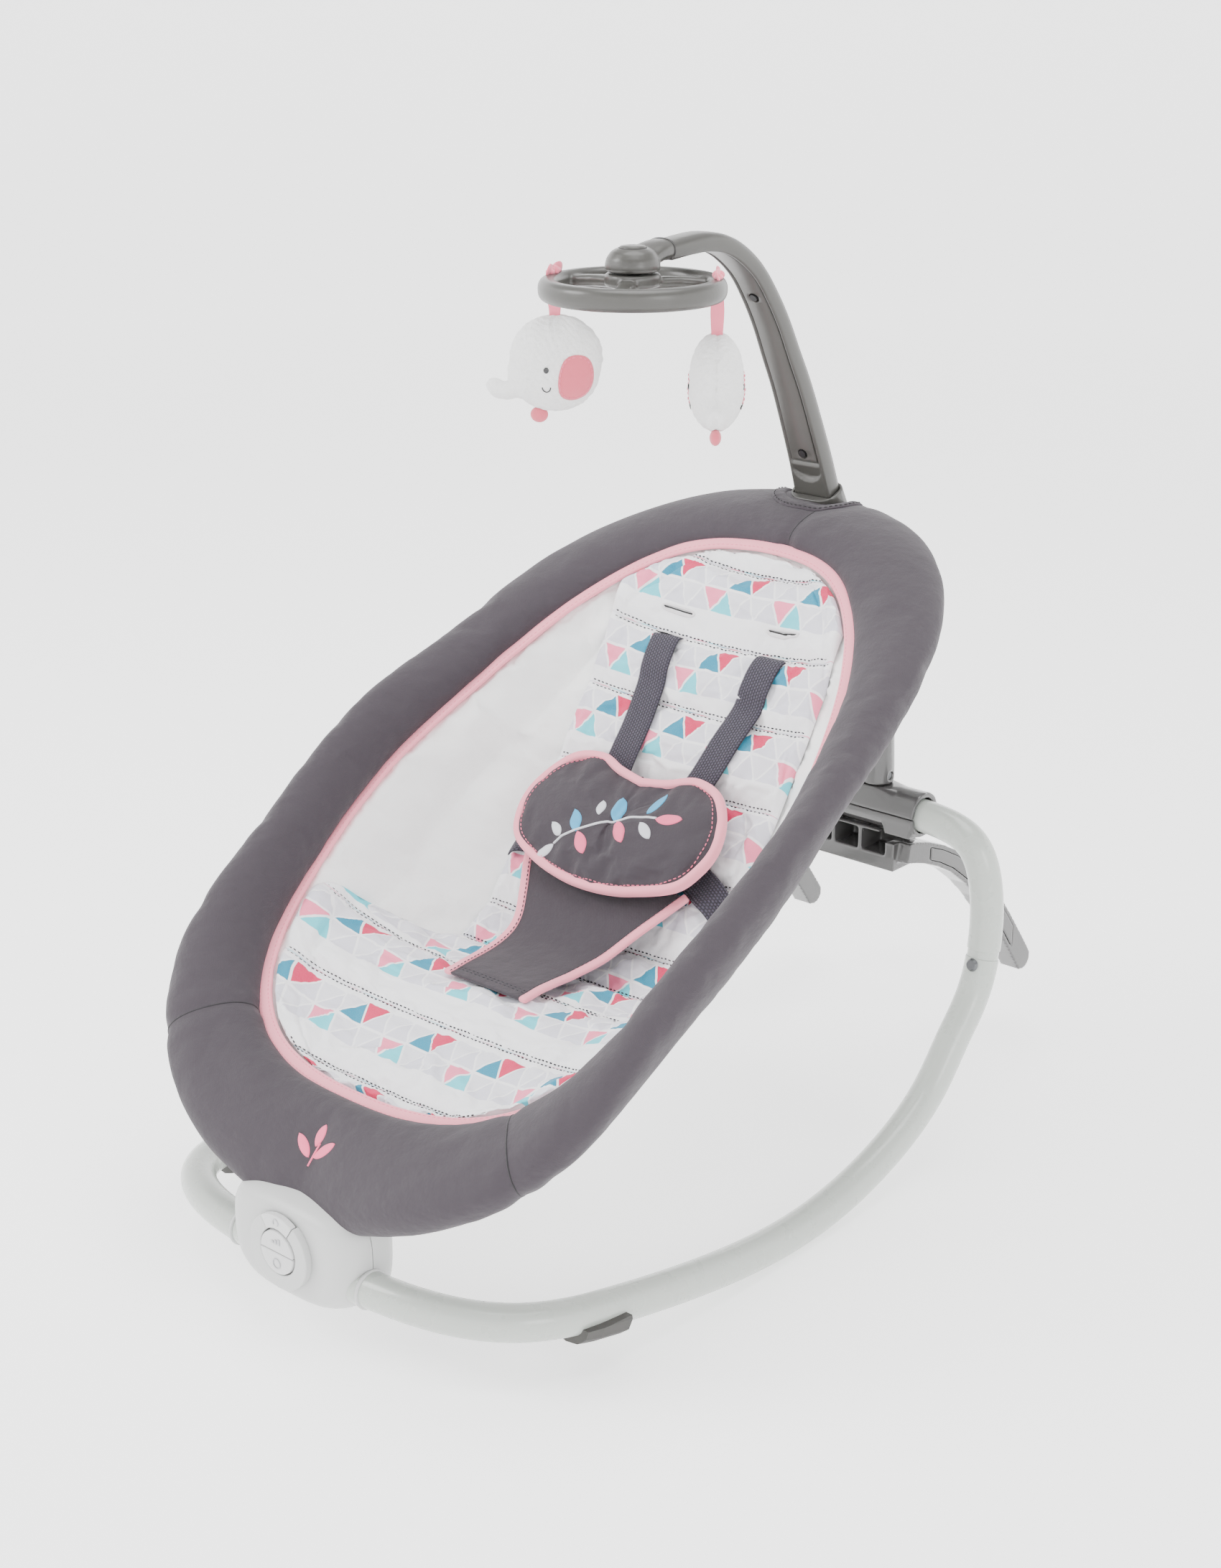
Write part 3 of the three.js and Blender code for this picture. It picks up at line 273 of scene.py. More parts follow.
def sweep(path, section, side=None, closed=False):
    """Section (side, up) carried along a path; section may be one outline or one per point."""
    p, _, s, u = frames(path, side, closed)
    section = np.asarray(section, float)
    if section.ndim == 2:
        section = np.broadcast_to(section, (len(p),) + section.shape)
    return loft([p[i] + section[i][:, :1] * s[i] + section[i][:, 1:] * u[i] for i in range(len(p))], closed)


def lathe(profile, origin, axis, n=32):
    """Outline of (radius, height) pairs from axis to axis turned about an axis."""
    axis = unit(axis)
    a = unit(np.cross(axis, [0.3, 0.9, 0.1]))
    b = np.cross(axis, a)
    rings = []
    for r, h in profile:
        c = circle(max(r, 1e-3), n)
        rings.append(np.asarray(origin, float) + axis * h + c[:, :1] * a + c[:, 1:] * b)
    return loft(rings)


def ellipsoid(centre, radii, n=28):
    rings = []
    for t in math.pi * np.arange(1, n // 2) / (n // 2):
        flat = circle(math.sin(t), n) * np.array(radii[:2])
        rings.append(np.column_stack([flat, np.full(n, -math.cos(t) * radii[2])]) + centre)
    return loft(rings)


def box_mesh(lo, hi):
    x0, y0, z0 = lo
    x1, y1, z1 = hi
    v = np.array([(x, y, z) for z in (z0, z1) for x, y in ((x0, y0), (x1, y0), (x1, y1), (x0, y1))], float)
    return v, [(0, 3, 2, 1), (4, 5, 6, 7), (0, 1, 5, 4), (1, 2, 6, 5), (2, 3, 7, 6), (3, 0, 4, 7)]


def merged(parts):
    verts, faces, base = [], [], 0
    for v, f in parts:
        verts.append(v)
        faces += [tuple(i + base for i in q) for q in f]
        base += len(v)
    return np.concatenate(verts), faces


def mesh_of(name, verts, faces):
    me = bpy.data.meshes.new(name)
    me.from_pydata((np.asarray(verts) * MM).tolist(), [], faces)
    me.update()
    bm = bmesh.new()
    bm.from_mesh(me)
    bmesh.ops.recalc_face_normals(bm, faces=bm.faces)
    bm.to_mesh(me)
    bm.free()
    return me


def placed(name, data):
    """A new object in the scene."""
    obj = bpy.data.objects.new(name, data)
    bpy.context.scene.collection.objects.link(obj)
    return obj


def make(name, verts, faces, key, body="base", stands_for=(), slot=None, grid=None, subdivide=0):
    """A piece of the object that rides on a body; grid is a per-vertex place on the cloth in mm."""
    me = mesh_of(name, verts, faces)
    if grid is not None:
        g = np.zeros((len(me.vertices), 3), np.float32)
        g[:len(grid), :2] = np.asarray(grid, float) * MM
        me.attributes.new("grid", "FLOAT_VECTOR", "POINT").data.foreach_set("vector", g.ravel())
    return finish_piece(name, me, key, body, stands_for, slot, subdivide)


def finish_piece(name, me, key, body="base", stands_for=(), slot=None, subdivide=0):
    """A piece from a finished mesh, in the material that key stands for; its colour slot is worked out but not
    given to the piece.
    """
    slot = slot or SLOT_OF[key]
    me.name = name
    me.materials.clear()
    me.materials.append(M[key])
    me.polygons.foreach_set("use_smooth", [True] * len(me.polygons))
    obj = placed(name, me)
    if subdivide:
        mod = obj.modifiers.new("fine", "SUBSURF")
        mod.levels = mod.render_levels = subdivide
    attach(obj, body)
    if stands_for:
        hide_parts(*stands_for)
    return obj


def applied(me, setup):
    """The mesh after the modifiers that setup(obj) adds."""
    obj = placed("scratch", me)
    setup(obj)
    dg = bpy.context.evaluated_depsgraph_get()
    out = bpy.data.meshes.new_from_object(obj.evaluated_get(dg))
    bpy.data.objects.remove(obj)
    return out


def softened(me, voxel, rounds):
    """The mesh remade as one skin of voxel mm, its edges smoothed into small fillets."""
    def setup(obj):
        remesh = obj.modifiers.new("remesh", "REMESH")
        remesh.mode = "VOXEL"
        remesh.voxel_size = voxel * MM
        smooth = obj.modifiers.new("soften", "SMOOTH")
        smooth.factor = 0.5
        smooth.iterations = rounds

    return applied(me, setup)


def cut_away(me, solids):
    """The mesh with closed solids cut out of it."""
    tools = [placed("tool", mesh_of("tool", *solid)) for solid in solids]

    def setup(obj):
        for tool in tools:
            mod = obj.modifiers.new("cut", "BOOLEAN")
            mod.operation = "DIFFERENCE"
            mod.object = tool

    out = applied(me, setup)
    for tool in tools:
        bpy.data.objects.remove(tool)
    return out


def fused(name, parts, voxel, rounds, key, body, stands_for):
    """Closed shapes joined into one moulding with small fillets."""
    me = softened(mesh_of(name, *merged(parts)), voxel, rounds)
    return finish_piece(name, me, key, body, stands_for)


def moulded(node, voxel, rounds, key, body="base"):
    """A smooth-edged moulding of a CAD node's shape that replaces it."""
    me = softened(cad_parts[node].data.copy(), voxel, rounds)
    return finish_piece(node + "_shell", me, key, body, (node,))


def points_of(me):
    """Vertices of a mesh in mm."""
    co = np.zeros(len(me.vertices) * 3, np.float32)
    me.vertices.foreach_get("co", co)
    return co.reshape(-1, 3).astype(float) / MM


def simulate(verts, faces, pinned, pressure, growth, cap, steps):
    """Cloth run on a mesh given in mm: pinned points stay, the rest fills out and wrinkles."""
    stiff = 12.0
    obj = placed("cloth", mesh_of("cloth", verts, faces))
    group = obj.vertex_groups.new(name="pin")
    group.add([int(i) for i in np.flatnonzero(pinned)], 1.0, "REPLACE")
    mod = obj.modifiers.new("Cloth", "CLOTH")
    s = mod.settings
    s.quality = 6
    s.mass = 0.15
    s.tension_stiffness = s.compression_stiffness = stiff
    s.shear_stiffness = stiff / 2
    s.bending_stiffness = 0.02
    s.air_damping = 4
    s.vertex_group_mass = "pin"
    s.use_pressure = True
    s.uniform_pressure_force = pressure
    s.shrink_min = -growth
    s.effector_weights.gravity = 0
    mod.collision_settings.use_collision = False
    mod.point_cache.frame_start, mod.point_cache.frame_end = 1, steps
    scene = bpy.context.scene
    for f in range(1, steps + 1):
        scene.frame_set(f)
    dg = bpy.context.evaluated_depsgraph_get()
    move = points_of(obj.evaluated_get(dg).to_mesh()) - verts
    bpy.data.objects.remove(obj)
    scene.frame_set(1)
    size = np.linalg.norm(move, axis=1, keepdims=True)
    return verts + move * np.minimum(1, cap / np.maximum(size, 1e-9))


def surface_tree(verts, faces):
    return BVHTree.FromPolygons([Vector(v) for v in verts], faces)


def dropped(tree, point, direction, lift=0.0):
    """The point moved along direction onto a surface, then lifted back by lift."""
    spot = tree.ray_cast(Vector(point), Vector(direction))[0]
    if spot is None:
        spot = tree.find_nearest(Vector(point))[0]
    return np.array(spot) - unit(direction) * lift


def stitches(line, normal, length, gap, width, height):
    """Row of short raised threads along a line."""
    line, n = np.asarray(line, float), unit(normal)
    run = run_of(line)
    parts = []
    for q in np.arange(gap, run[-1] - length, length + gap):
        a, b = at_run(line, run, np.array([q, q + length]))
        t = unit(b - a)
        w = np.cross(t, n)
        rings = []
        for k, r in ((-0.5, 0.35), (-0.3, 1.0), (0.3, 1.0), (0.5, 0.35)):
            c = (a + b) / 2 + t * k * length
            rings.append([c + w * width / 2 * r * x + n * height * r * z for x, z in
                          ((-1, -0.6), (-0.7, 0.5), (0, 0.8), (0.7, 0.5), (1, -0.6))])
        parts.append(loft(rings))
    return merged(parts)


# ---------------------------------------------------------------- materials
class Shader:
    """Node tree with short calls for the maths."""

    def __init__(self, name, rough, metal=0.0):
        self.mat = bpy.data.materials.new(name)
        self.mat.use_nodes = True
        self.tree = self.mat.node_tree
        self.bsdf = self.tree.nodes["Principled BSDF"]
        self.bsdf.inputs["Roughness"].default_value = rough
        self.bsdf.inputs["Metallic"].default_value = metal

    def node(self, kind, **props):
        n = self.tree.nodes.new(kind)
        for k, v in props.items():
            setattr(n, k, v)
        return n

    def put(self, socket, value):
        if isinstance(value, bpy.types.NodeSocket):
            self.tree.links.new(value, socket)
        elif value is not None:
            socket.default_value = value

    def math(self, op, a, b=None, c=None):
        n = self.node("ShaderNodeMath", operation=op)
        for socket, value in zip(n.inputs, (a, b, c)):
            self.put(socket, value)
        return n.outputs[0]

    def step(self, a, lo, hi):
        n = self.node("ShaderNodeMapRange", interpolation_type="SMOOTHSTEP")
        for k, v in (("Value", a), ("From Min", lo), ("From Max", hi)):
            self.put(n.inputs[k], v)
        return n.outputs[0]

    def mix(self, fac, a, b):
        n = self.node("ShaderNodeMix", data_type="RGBA")
        self.put(n.inputs[0], fac)
        self.put(n.inputs[6], a)
        self.put(n.inputs[7], b)
        return n.outputs[2]

    def place(self, attribute=None):
        if attribute:
            return self.node("ShaderNodeAttribute", attribute_name=attribute).outputs["Vector"]
        return self.node("ShaderNodeTexCoord").outputs["Object"]

    def noise(self, vector, per_mm, detail=3.0, rough=0.55, stretch=(1, 1, 1)):
        m = self.node("ShaderNodeMapping")
        m.inputs["Scale"].default_value = stretch
        self.put(m.inputs["Vector"], vector)
        n = self.node("ShaderNodeTexNoise")
        n.inputs["Scale"].default_value = per_mm * 1000
        n.inputs["Detail"].default_value = detail
        n.inputs["Roughness"].default_value = rough
        self.put(n.inputs["Vector"], m.outputs[0])
        return n.outputs["Fac"]

    def weave(self, vector, pitch, axes=(0, 1)):
        """Plain weave height of the given pitch in mm."""
        x = self.node("ShaderNodeSeparateXYZ")
        self.put(x.inputs[0], vector)
        k = 2 * math.pi / (pitch * MM)
        a = self.math("SINE", self.math("MULTIPLY", x.outputs[axes[0]], k))
        b = self.math("SINE", self.math("MULTIPLY", x.outputs[axes[1]], k))
        return self.math("MULTIPLY", a, b)

    def bump(self, height, distance, strength=1.0, under=None):
        n = self.node("ShaderNodeBump")
        n.inputs["Distance"].default_value = distance * MM
        n.inputs["Strength"].default_value = strength
        self.put(n.inputs["Height"], height)
        if under is not None:
            self.put(n.inputs["Normal"], under)
        return n.outputs[0]

    def finish(self, colour, normal=None, sheen=0.0, coat=0.0, rough=None):
        self.put(self.bsdf.inputs["Base Color"], colour)
        if normal is not None:
            self.put(self.bsdf.inputs["Normal"], normal)
        if rough is not None:
            self.put(self.bsdf.inputs["Roughness"], rough)
        self.bsdf.inputs["Sheen Weight"].default_value = sheen
        self.bsdf.inputs["Coat Weight"].default_value = coat
        return self.mat


def linear(r, g, b):
    f = lambda c: (c / 255 / 12.92) if c / 255 <= 0.04045 else ((c / 255 + 0.055) / 1.055) ** 2.4
    return (f(r), f(g), f(b), 1.0)


def shade(rgb, k):
    """A 0 to 255 colour made k times as bright, as shader values."""
    return tuple(min(c * k, 1) for c in linear(*rgb)[:3]) + (1.0,)


def hard(name, rgb, rough, metal=0.0, grain=0.02, coat=0.0, spread=0.04):
    """Moulded plastic, enamel or metal: faint mottling, orange peel and uneven gloss."""
    s = Shader(name, rough, metal)
    at = s.place()
    cloud = s.noise(at, 0.02, 2)
    fine = s.noise(at, 1.6, 2)
    colour = s.mix(cloud, shade(rgb, 1 - spread), shade(rgb, 1 + spread))
    gloss = s.math("MULTIPLY_ADD", s.noise(at, 0.06, 4), 0.12, rough - 0.06)
    return s.finish(colour, s.bump(fine, grain, 0.6), coat=coat, rough=gloss)


def cloth(name, rgb, pitch=0.9, depth=0.10, rough=0.9, sheen=0.15, crease=0.25, spread=0.06):
    """Woven fabric: thread grid, fibre noise and soft creases."""
    s = Shader(name, rough)
    at = s.place()
    thread = s.weave(at, pitch, (0, 2))
    fibre = s.noise(at, 2.2, 3)
    fold = s.noise(at, 0.045, 4, 0.6, (1, 1, 1.5))
    colour = s.mix(fibre, shade(rgb, 1 - spread), shade(rgb, 1 + spread))
    n = s.bump(fold, crease * 6, 0.6)
    n = s.bump(s.math("ADD", s.math("MULTIPLY", thread, 0.3), fibre), depth, 0.8, n)
    return s.finish(colour, n, sheen=sheen)


def plush(name, rgb):
    """Short pile: clumped tufts over fine fibre."""
    s = Shader(name, 0.95)
    at = s.place()
    tuft = s.noise(at, 0.42, 4, 0.7)
    fibre = s.noise(at, 2.4, 2, 0.6)
    colour = s.mix(tuft, shade(rgb, 0.88), shade(rgb, 1.05))
    n = s.bump(tuft, 2.4, 0.8)
    n = s.bump(fibre, 0.5, 0.8, n)
    return s.finish(colour, n, sheen=0.5)


def webbing_mat(name, rgb):
    """Ribbed narrow webbing with cross threads, lighter on the raised threads as painted highlight and darker
    between them as painted shade; uses the strap's own grid.
    """
    s = Shader(name, 0.85)
    at = s.place("grid")
    x = s.node("ShaderNodeSeparateXYZ")
    s.put(x.inputs[0], at)
    rib = s.math("ABSOLUTE", s.math("SINE", s.math("MULTIPLY", x.outputs[0], math.pi / (2.1 * MM))))
    half = s.math("MULTIPLY", s.math("FLOOR", s.math("DIVIDE", x.outputs[0], 2.1 * MM)), 0.5)
    run = s.math("ADD", s.math("DIVIDE", x.outputs[1], 2.6 * MM), half)
    knot = s.math("ABSOLUTE", s.math("SINE", s.math("MULTIPLY", run, math.pi)))
    height = s.math("MULTIPLY", rib, s.math("MULTIPLY_ADD", knot, 0.7, 0.3))
    fibre = s.noise(s.place(), 2.0, 3)
    # colour follows the weave's height: painted highlight on raised threads, painted shade in the grooves
    # between them
    colour = s.mix(s.step(height, 0.35, 0.95), shade(rgb, 0.6), shade(rgb, 2.0))
    n = s.bump(height, 0.8, 1.0)
    return s.finish(colour, s.bump(fibre, 0.12, 0.6, n), sheen=0.1)


def print_mat(name):
    """White quilted cotton with rows of small triangles; grid is (x from the motif, length from the seam)."""
    s = Shader(name, 0.88)
    at = s.place("grid")
    x = s.node("ShaderNodeSeparateXYZ")
    s.put(x.inputs[0], at)
    u = s.math("MULTIPLY", x.outputs[0], 1000.0)
    t = s.math("MULTIPLY", x.outputs[1], 1000.0)
    base = (241, 241, 243)
    fibre = s.noise(s.place(), 2.0, 3)
    colour = s.mix(fibre, shade(base, 0.95), shade(base, 1))
    edge, rise, pitch, period, gap = 21.3, 18.5, 19.6, 64.0, 0.75

    def triangles(colour, row, centre, up, rgb, alpha=1.0):
        top = 5.0 + row * pitch
        y = s.math("DIVIDE", s.math("SUBTRACT", t, top), rise)
        d = s.math("SUBTRACT", u, centre)
        whole = s.math("MULTIPLY", s.math("ROUND", s.math("DIVIDE", d, period)), period)
        d = s.math("SUBTRACT", d, whole)
        d = s.math("ABSOLUTE", d)
        grow = y if up else s.math("SUBTRACT", 1.0, y)
        reach = s.math("SUBTRACT", s.math("MULTIPLY", grow, edge / 2), gap)
        inside = s.step(s.math("SUBTRACT", reach, d), -0.15, 0.35)
        low = s.step(y, 0.01, 0.04)
        high = s.step(s.math("SUBTRACT", 1.0, y), 0.01, 0.04)
        mask = s.math("MULTIPLY", inside, s.math("MULTIPLY", low, high))
        worn = s.math("MULTIPLY", mask, s.math("MULTIPLY_ADD", fibre, 0.18, alpha - 0.12))
        return s.mix(worn, colour, rgb)

    pale, blue = linear(206, 205, 216), linear(4, 128, 158)
    coral, blush, aqua = linear(206, 20, 80), linear(244, 124, 156), linear(84, 200, 214)
    h = edge / 2
    pairs = [[(blue, coral), (pale, pale), (pale, pale)], [(aqua, pale), (pale, pale), (pale, blush)]]
    for row, first in ((0, h), (1, 0.0)):
        for k, (up, down) in enumerate(pairs[row]):
            c = first + k * edge
            colour = triangles(colour, row, c, True, up, 0.9 if up is pale else 1.0)
            colour = triangles(colour, row, c + h, False, down, 0.6 if down is pale else 1.0)
    thread = s.weave(s.place(), 0.7, (0, 2))
    fold = s.noise(s.place(), 0.05, 4, 0.6)
    n = s.bump(fold, 1.6, 0.7)
    n = s.bump(s.math("ADD", s.math("MULTIPLY", thread, 0.25), fibre), 0.1, 0.7, n)
    return s.finish(colour, n, sheen=0.1)


M = {
    "enamel": hard("runner_enamel", (168, 173, 167), 0.28, 0.0, 0.012, 0.35, 0.02),
    "steel": hard("frame_steel", (150, 152, 156), 0.4, 0.9),
    "unit": hard("unit_white", (184, 185, 184), 0.36, 0.0, 0.03, 0.0, 0.015),
    "button": hard("button_white", (196, 196, 196), 0.33, 0.0, 0.03, 0.0, 0.015),
    "gloss": hard("grey_gloss", (62, 61, 61), 0.2, 0.0, 0.012, 0.5, 0.03),
    "bar": hard("bar_grey", (66, 65, 62), 0.34, 0.0, 0.03, 0.1, 0.03),
    # darker, duller grey for the screw recesses, the knuckle's seam and the gap round its button: painted shade
    # in those hollows
    "bar_dark": hard("bar_recess_painted_shade", (44, 43, 42), 0.6, 0.0, 0.03),
    # near-black strips in the harness slots: painted shade inside the openings
    "dark": hard("gap_painted_shade", (34, 34, 35), 0.7),
    "rubber": hard("grey_rubber", (66, 65, 63), 0.8, 0.0, 0.1),
    "screw": hard("screw_steel", (96, 97, 99), 0.38, 0.9, 0.05),
    "black_screw": hard("screw_black", (46, 46, 47), 0.35, 0.5, 0.05),
    "charcoal": cloth("charcoal_cloth", (55, 49, 55), 0.9, 0.14, 0.9, 0.12, 0.45, 0.10),
    "charcoal_thread": cloth("charcoal_thread", (30, 27, 31), 0.5, 0.2),
    "pink": cloth("pink_binding", (244, 150, 166), 0.6, 0.12, 0.85, 0.2, 0.12),
    "white": cloth("white_cloth", (244, 244, 243), 0.8, 0.10, 0.92, 0.15, 0.45, 0.03),
    "print": print_mat("quilted_print"),
    "webbing": webbing_mat("webbing", (52, 48, 60)),
    "thread": cloth("grey_thread", (48, 46, 52), 0.4, 0.2),
    "thread_white": cloth("white_thread", (226, 222, 224), 0.4, 0.2),
    "thread_pink": cloth("pink_thread", (232, 112, 140), 0.4, 0.2),
    "plush": plush("plush_white", (250, 250, 249)),
    "felt": cloth("pink_felt", (216, 98, 114), 0.5, 0.25, 0.95, 0.4, 0.15),
    "ribbon": cloth("ribbon_pink", (238, 120, 142), 0.7, 0.22, 0.8, 0.5, 0.2),
    "eye": hard("eye_black", (16, 16, 18), 0.12, 0.0, 0.01, 0.6),
    "icon": hard("printed_grey", (176, 177, 180), 0.5),
    "cell": hard("cell_metal", (70, 72, 76), 0.35, 0.6),
    "board": hard("board_green", (47, 107, 66), 0.5),
    "sprig_blue": cloth("sprig_blue", (70, 158, 200), 0.5, 0.15),
    "sprig_pink": cloth("sprig_pink", (240, 104, 140), 0.5, 0.15),
    "sprig_grey": cloth("sprig_grey", (206, 208, 214), 0.5, 0.15),
}
# the colour slot that each material's pieces belong to
SLOTS = {"runner_enamel": "enamel", "unit_white": "unit", "button_white": "button icon",
         "grey_gloss": "gloss", "bar_grey": "bar bar_dark", "pink_binding": "pink thread_pink",
         "white_cloth": "white",
         "charcoal_cloth": "charcoal charcoal_thread dark eye sprig_blue sprig_pink sprig_grey",
         "quilted_print": "print thread thread_white", "webbing": "webbing", "plush_white": "plush",
         "ribbon_pink": "felt ribbon"}
SLOT_OF = {key: slot for slot, keys in SLOTS.items() for key in keys.split()}


def repaint(names, key):
    """Gives carried-over CAD nodes a structured material."""
    for name in names:
        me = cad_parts[name].data
        me.materials.clear()
        me.materials.append(M[key])


repaint(["splice_screw_left", "splice_screw_right", "post_screw_left", "post_screw_right", "door_screw",
         "stand_screw_left", "stand_screw_right"], "screw")
repaint(["cover_screw_lower", "cover_screw_upper"], "black_screw")
repaint(["seat_frame_tube", "vibration_motor", "motor_weight"], "steel")
repaint(["battery_upper", "battery_lower"], "cell")
repaint(["circuit_board"], "board")
repaint(["front_foot_left", "front_foot_right"], "rubber")
repaint(["battery_door"], "unit")
repaint(["front_bracket"], "gloss")


# ---------------------------------------------------------------- rocker base
DESIGN = np.array([0, -20.0, -0.36])          # from the drawing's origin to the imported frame's
RAIL_CTRL = [[30, -318, 50], [153, -318, 50], [183, -219, 39], [183, -37, 4], [183, 74, 24], [183, 139, 57],
             [183, 164, 95], [183, 205, 127], [183, 206, 243], [134, 206, 243], [66, 206, 243]]
TUBE_R, SPLICE_Z, SPIGOT_R = 12.5, 148.0, 11.7
RAIL = clamped_bspline(np.array(RAIL_CTRL, float), 260) + DESIGN


def rounded_tube(path, r, n=32, lip=0.8):
    """Tube whose ends have a small rounded lip."""
    p, t, s, u = frames(path)
    c = circle(1, n)
    ring = lambda i, ahead, radius: p[i] + t[i] * ahead + radius * (c[:, :1] * s[i] + c[:, 1:] * u[i])
    ends = [[ring(i, turn * lip * math.sin(a), r - lip * (1 - math.cos(a))) for a in (0.5, 1.0, 1.57)]
            for i, turn in ((0, -1), (-1, 1))]
    return loft(ends[0][::-1] + [ring(i, 0.0, r) for i in range(len(p))] + ends[1])


SPLICE = int(np.argmax((RAIL[:, 2] > SPLICE_Z) & (np.arange(len(RAIL)) > 120)))
for side, sign in SIDES:
    flip = np.array([sign, 1, 1.0])
    make("rail_tube_" + side, *rounded_tube(RAIL[:SPLICE - 1] * flip, TUBE_R), "enamel",
         stands_for=("front_rail_" + side,))
    make("upper_tube_" + side, *rounded_tube(RAIL[SPLICE + 1:] * flip, TUBE_R), "enamel",
         stands_for=("rear_tube_" + side,))
    make("splice_spigot_" + side, *sweep(RAIL[SPLICE - 4:SPLICE + 5] * flip, circle(SPIGOT_R, 28)), "enamel")


# ---------------------------------------------------------------- mouldings that keep the CAD shape
UNIT_FRONT = [(0, 25), (22, 25), (40, 28), (54, 37), (60, 50), (61, 72), (59, 97), (0, 100)]
UNIT_MID = np.array([0, 64])
FRONT_HALF = [(-335.4, 0.66), (-335.2, 0.72), (-334.6, 0.77), (-333, 0.82), (-330, 0.875), (-326, 0.92),
              (-321, 0.957), (-316, 0.978), (-313.9, 0.984), (-313.4, 0.978)]
REAR_HALF = [(-312.9, 0.978), (-312.4, 0.984), (-306, 0.995), (-300, 0.985), (-295, 0.955), (-292, 0.915),
             (-290.6, 0.87)]
DOOR_RECESS = box_mesh((-31.4, -312.6, 63.3), (31.4, -306.0, 88.0))
CELL_BAY = box_mesh((-27.0, -331.4, 59.8), (27.0, -312.2, 90.2))


def unit_half(spans):
    """Rounded half of the unit: the front outline at the sizes given as (y, scale) pairs."""
    outline = resampled(closed_spline(both_sides(UNIT_FRONT), 16), 120)[0]
    outline = (outline - UNIT_MID) * [1.02, 1.06] + UNIT_MID
    rings = []
    for y, k in spans:
        q = (outline - UNIT_MID) * k + UNIT_MID
        rings.append(np.column_stack([q[:, 0], np.full(len(q), y), q[:, 1]]) + DESIGN)
    return loft(rings)


def unit_rear_shell():
    """Rear half of the unit with the door's recess and the space for two cells cut into it."""
    me = cut_away(mesh_of("rear_half", *unit_half(REAR_HALF)), (DOOR_RECESS, CELL_BAY))
    me.set_sharp_from_angle(angle=math.radians(32))
    finish_piece("unit_rear_shell_moulding", me, "unit", stands_for=("unit_rear_shell",))


make("unit_front_shell_moulding", *unit_half(FRONT_HALF), "unit", stands_for=("unit_front_shell",))
unit_rear_shell()
ENTRY = RAIL[int(np.argmin(np.abs(RAIL[:120, 0] - 58.5)))]
for side, sign in SIDES:
    rim = [(0, -1.5), (13.5, -1.5), (13.8, 0.2), (13.2, 0.9), (0, 1.0)]
    make("tube_entry_" + side, *lathe(rim, ENTRY * [sign, 1, 1], (sign, 0, 0), 40), "unit")
moulded("dial_ring", 0.55, 8, "unit")
for part in ("top", "upper", "power"):
    moulded(("dial_top" if part == "top" else part) + "_button", 0.45, 6, "button", part + "_button_body")
moulded("rear_housing_upper", 1.0, 10, "gloss")
moulded("rear_housing_lower", 1.0, 8, "gloss")
moulded("seat_post_left", 1.0, 10, "gloss")
moulded("seat_post_right", 1.0, 10, "gloss")
moulded("kickstand", 1.0, 6, "gloss", "stand_body")
moulded("stand_cover_left", 0.5, 5, "gloss", "stand_body")
moulded("stand_cover_right", 0.5, 5, "gloss", "stand_body")
moulded("bar_collar", 0.7, 8, "bar")


# ---------------------------------------------------------------- padded border and piping
def rim_place(i):
    """Centre, outward and upward directions and size of the padded roll at a rim station."""
    s = RIM_S[i]
    f = math.radians(table(ROLL_TILT, s))
    w, h = table(ROLL_W, s), table(ROLL_H, s)
    out = np.array([RIM_OUT[i][0], RIM_OUT[i][1] * CT, RIM_OUT[i][1] * ST])
    d = out * math.cos(f) + NORMAL * math.sin(f)
    e = -out * math.sin(f) + NORMAL * math.cos(f)
    return seat_point(*RIM[i], 0) + d * (w / 2 - 1.4), d, e, w, h


SEAM_STATIONS = [int(np.argmin(np.hypot(RIM[:, 0] - x, RIM[:, 1] - v))) for x, v in BORDER_SEAMS]
BORDER_SOFTNESS = 0.5            # share of the simulated wrinkles that the tight cover shows


def near_seam(i):
    """Distance along the rim to the nearest cross seam of the border."""
    gaps = [abs(i - k) for k in SEAM_STATIONS]
    return min(min(gap, len(RIM) - gap) for gap in gaps) * (RIM_LENGTH / len(RIM))


def padded_border():
    n, m = len(RIM), 40
    a = np.arange(m) / m * 2 * math.pi
    across, up = squared(np.cos(a), 2.25), squared(np.sin(a), 2.25)
    both = (True, True)
    slack = smooth_noise((n, m), (22, 5), 3, both) + 0.35 * smooth_noise((n, m), (80, 8), 4, both)
    rings, pinned = [], []
    for i in range(n):
        c, d, e, w, h = rim_place(i)
        ds = near_seam(i)
        tight = 1 - 0.07 * math.exp(-(ds / 5) ** 2)
        puff = slack[i][:, None] * 0.9 * min(1, ds / 8)
        ring = c + ((w / 2) * across * tight)[:, None] * d + ((h / 2) * up * tight)[:, None] * e
        ring += unit(ring - c) * puff
        rings.append(ring)
        pinned.append((np.cos(a) < -0.965) | (np.sin(a) < -0.97) | (ds < 2.2))
    verts, faces = loft(rings, closed=True)
    filled = simulate(verts, faces, np.concatenate(pinned), 2.4, 0.012, 4.0, 14)
    verts = verts + (filled - verts) * BORDER_SOFTNESS
    border = make("border_cover", verts, faces, "charcoal", stands_for=("padded_border",), subdivide=1)
    return surface_tree(verts, faces)


BORDER = padded_border()


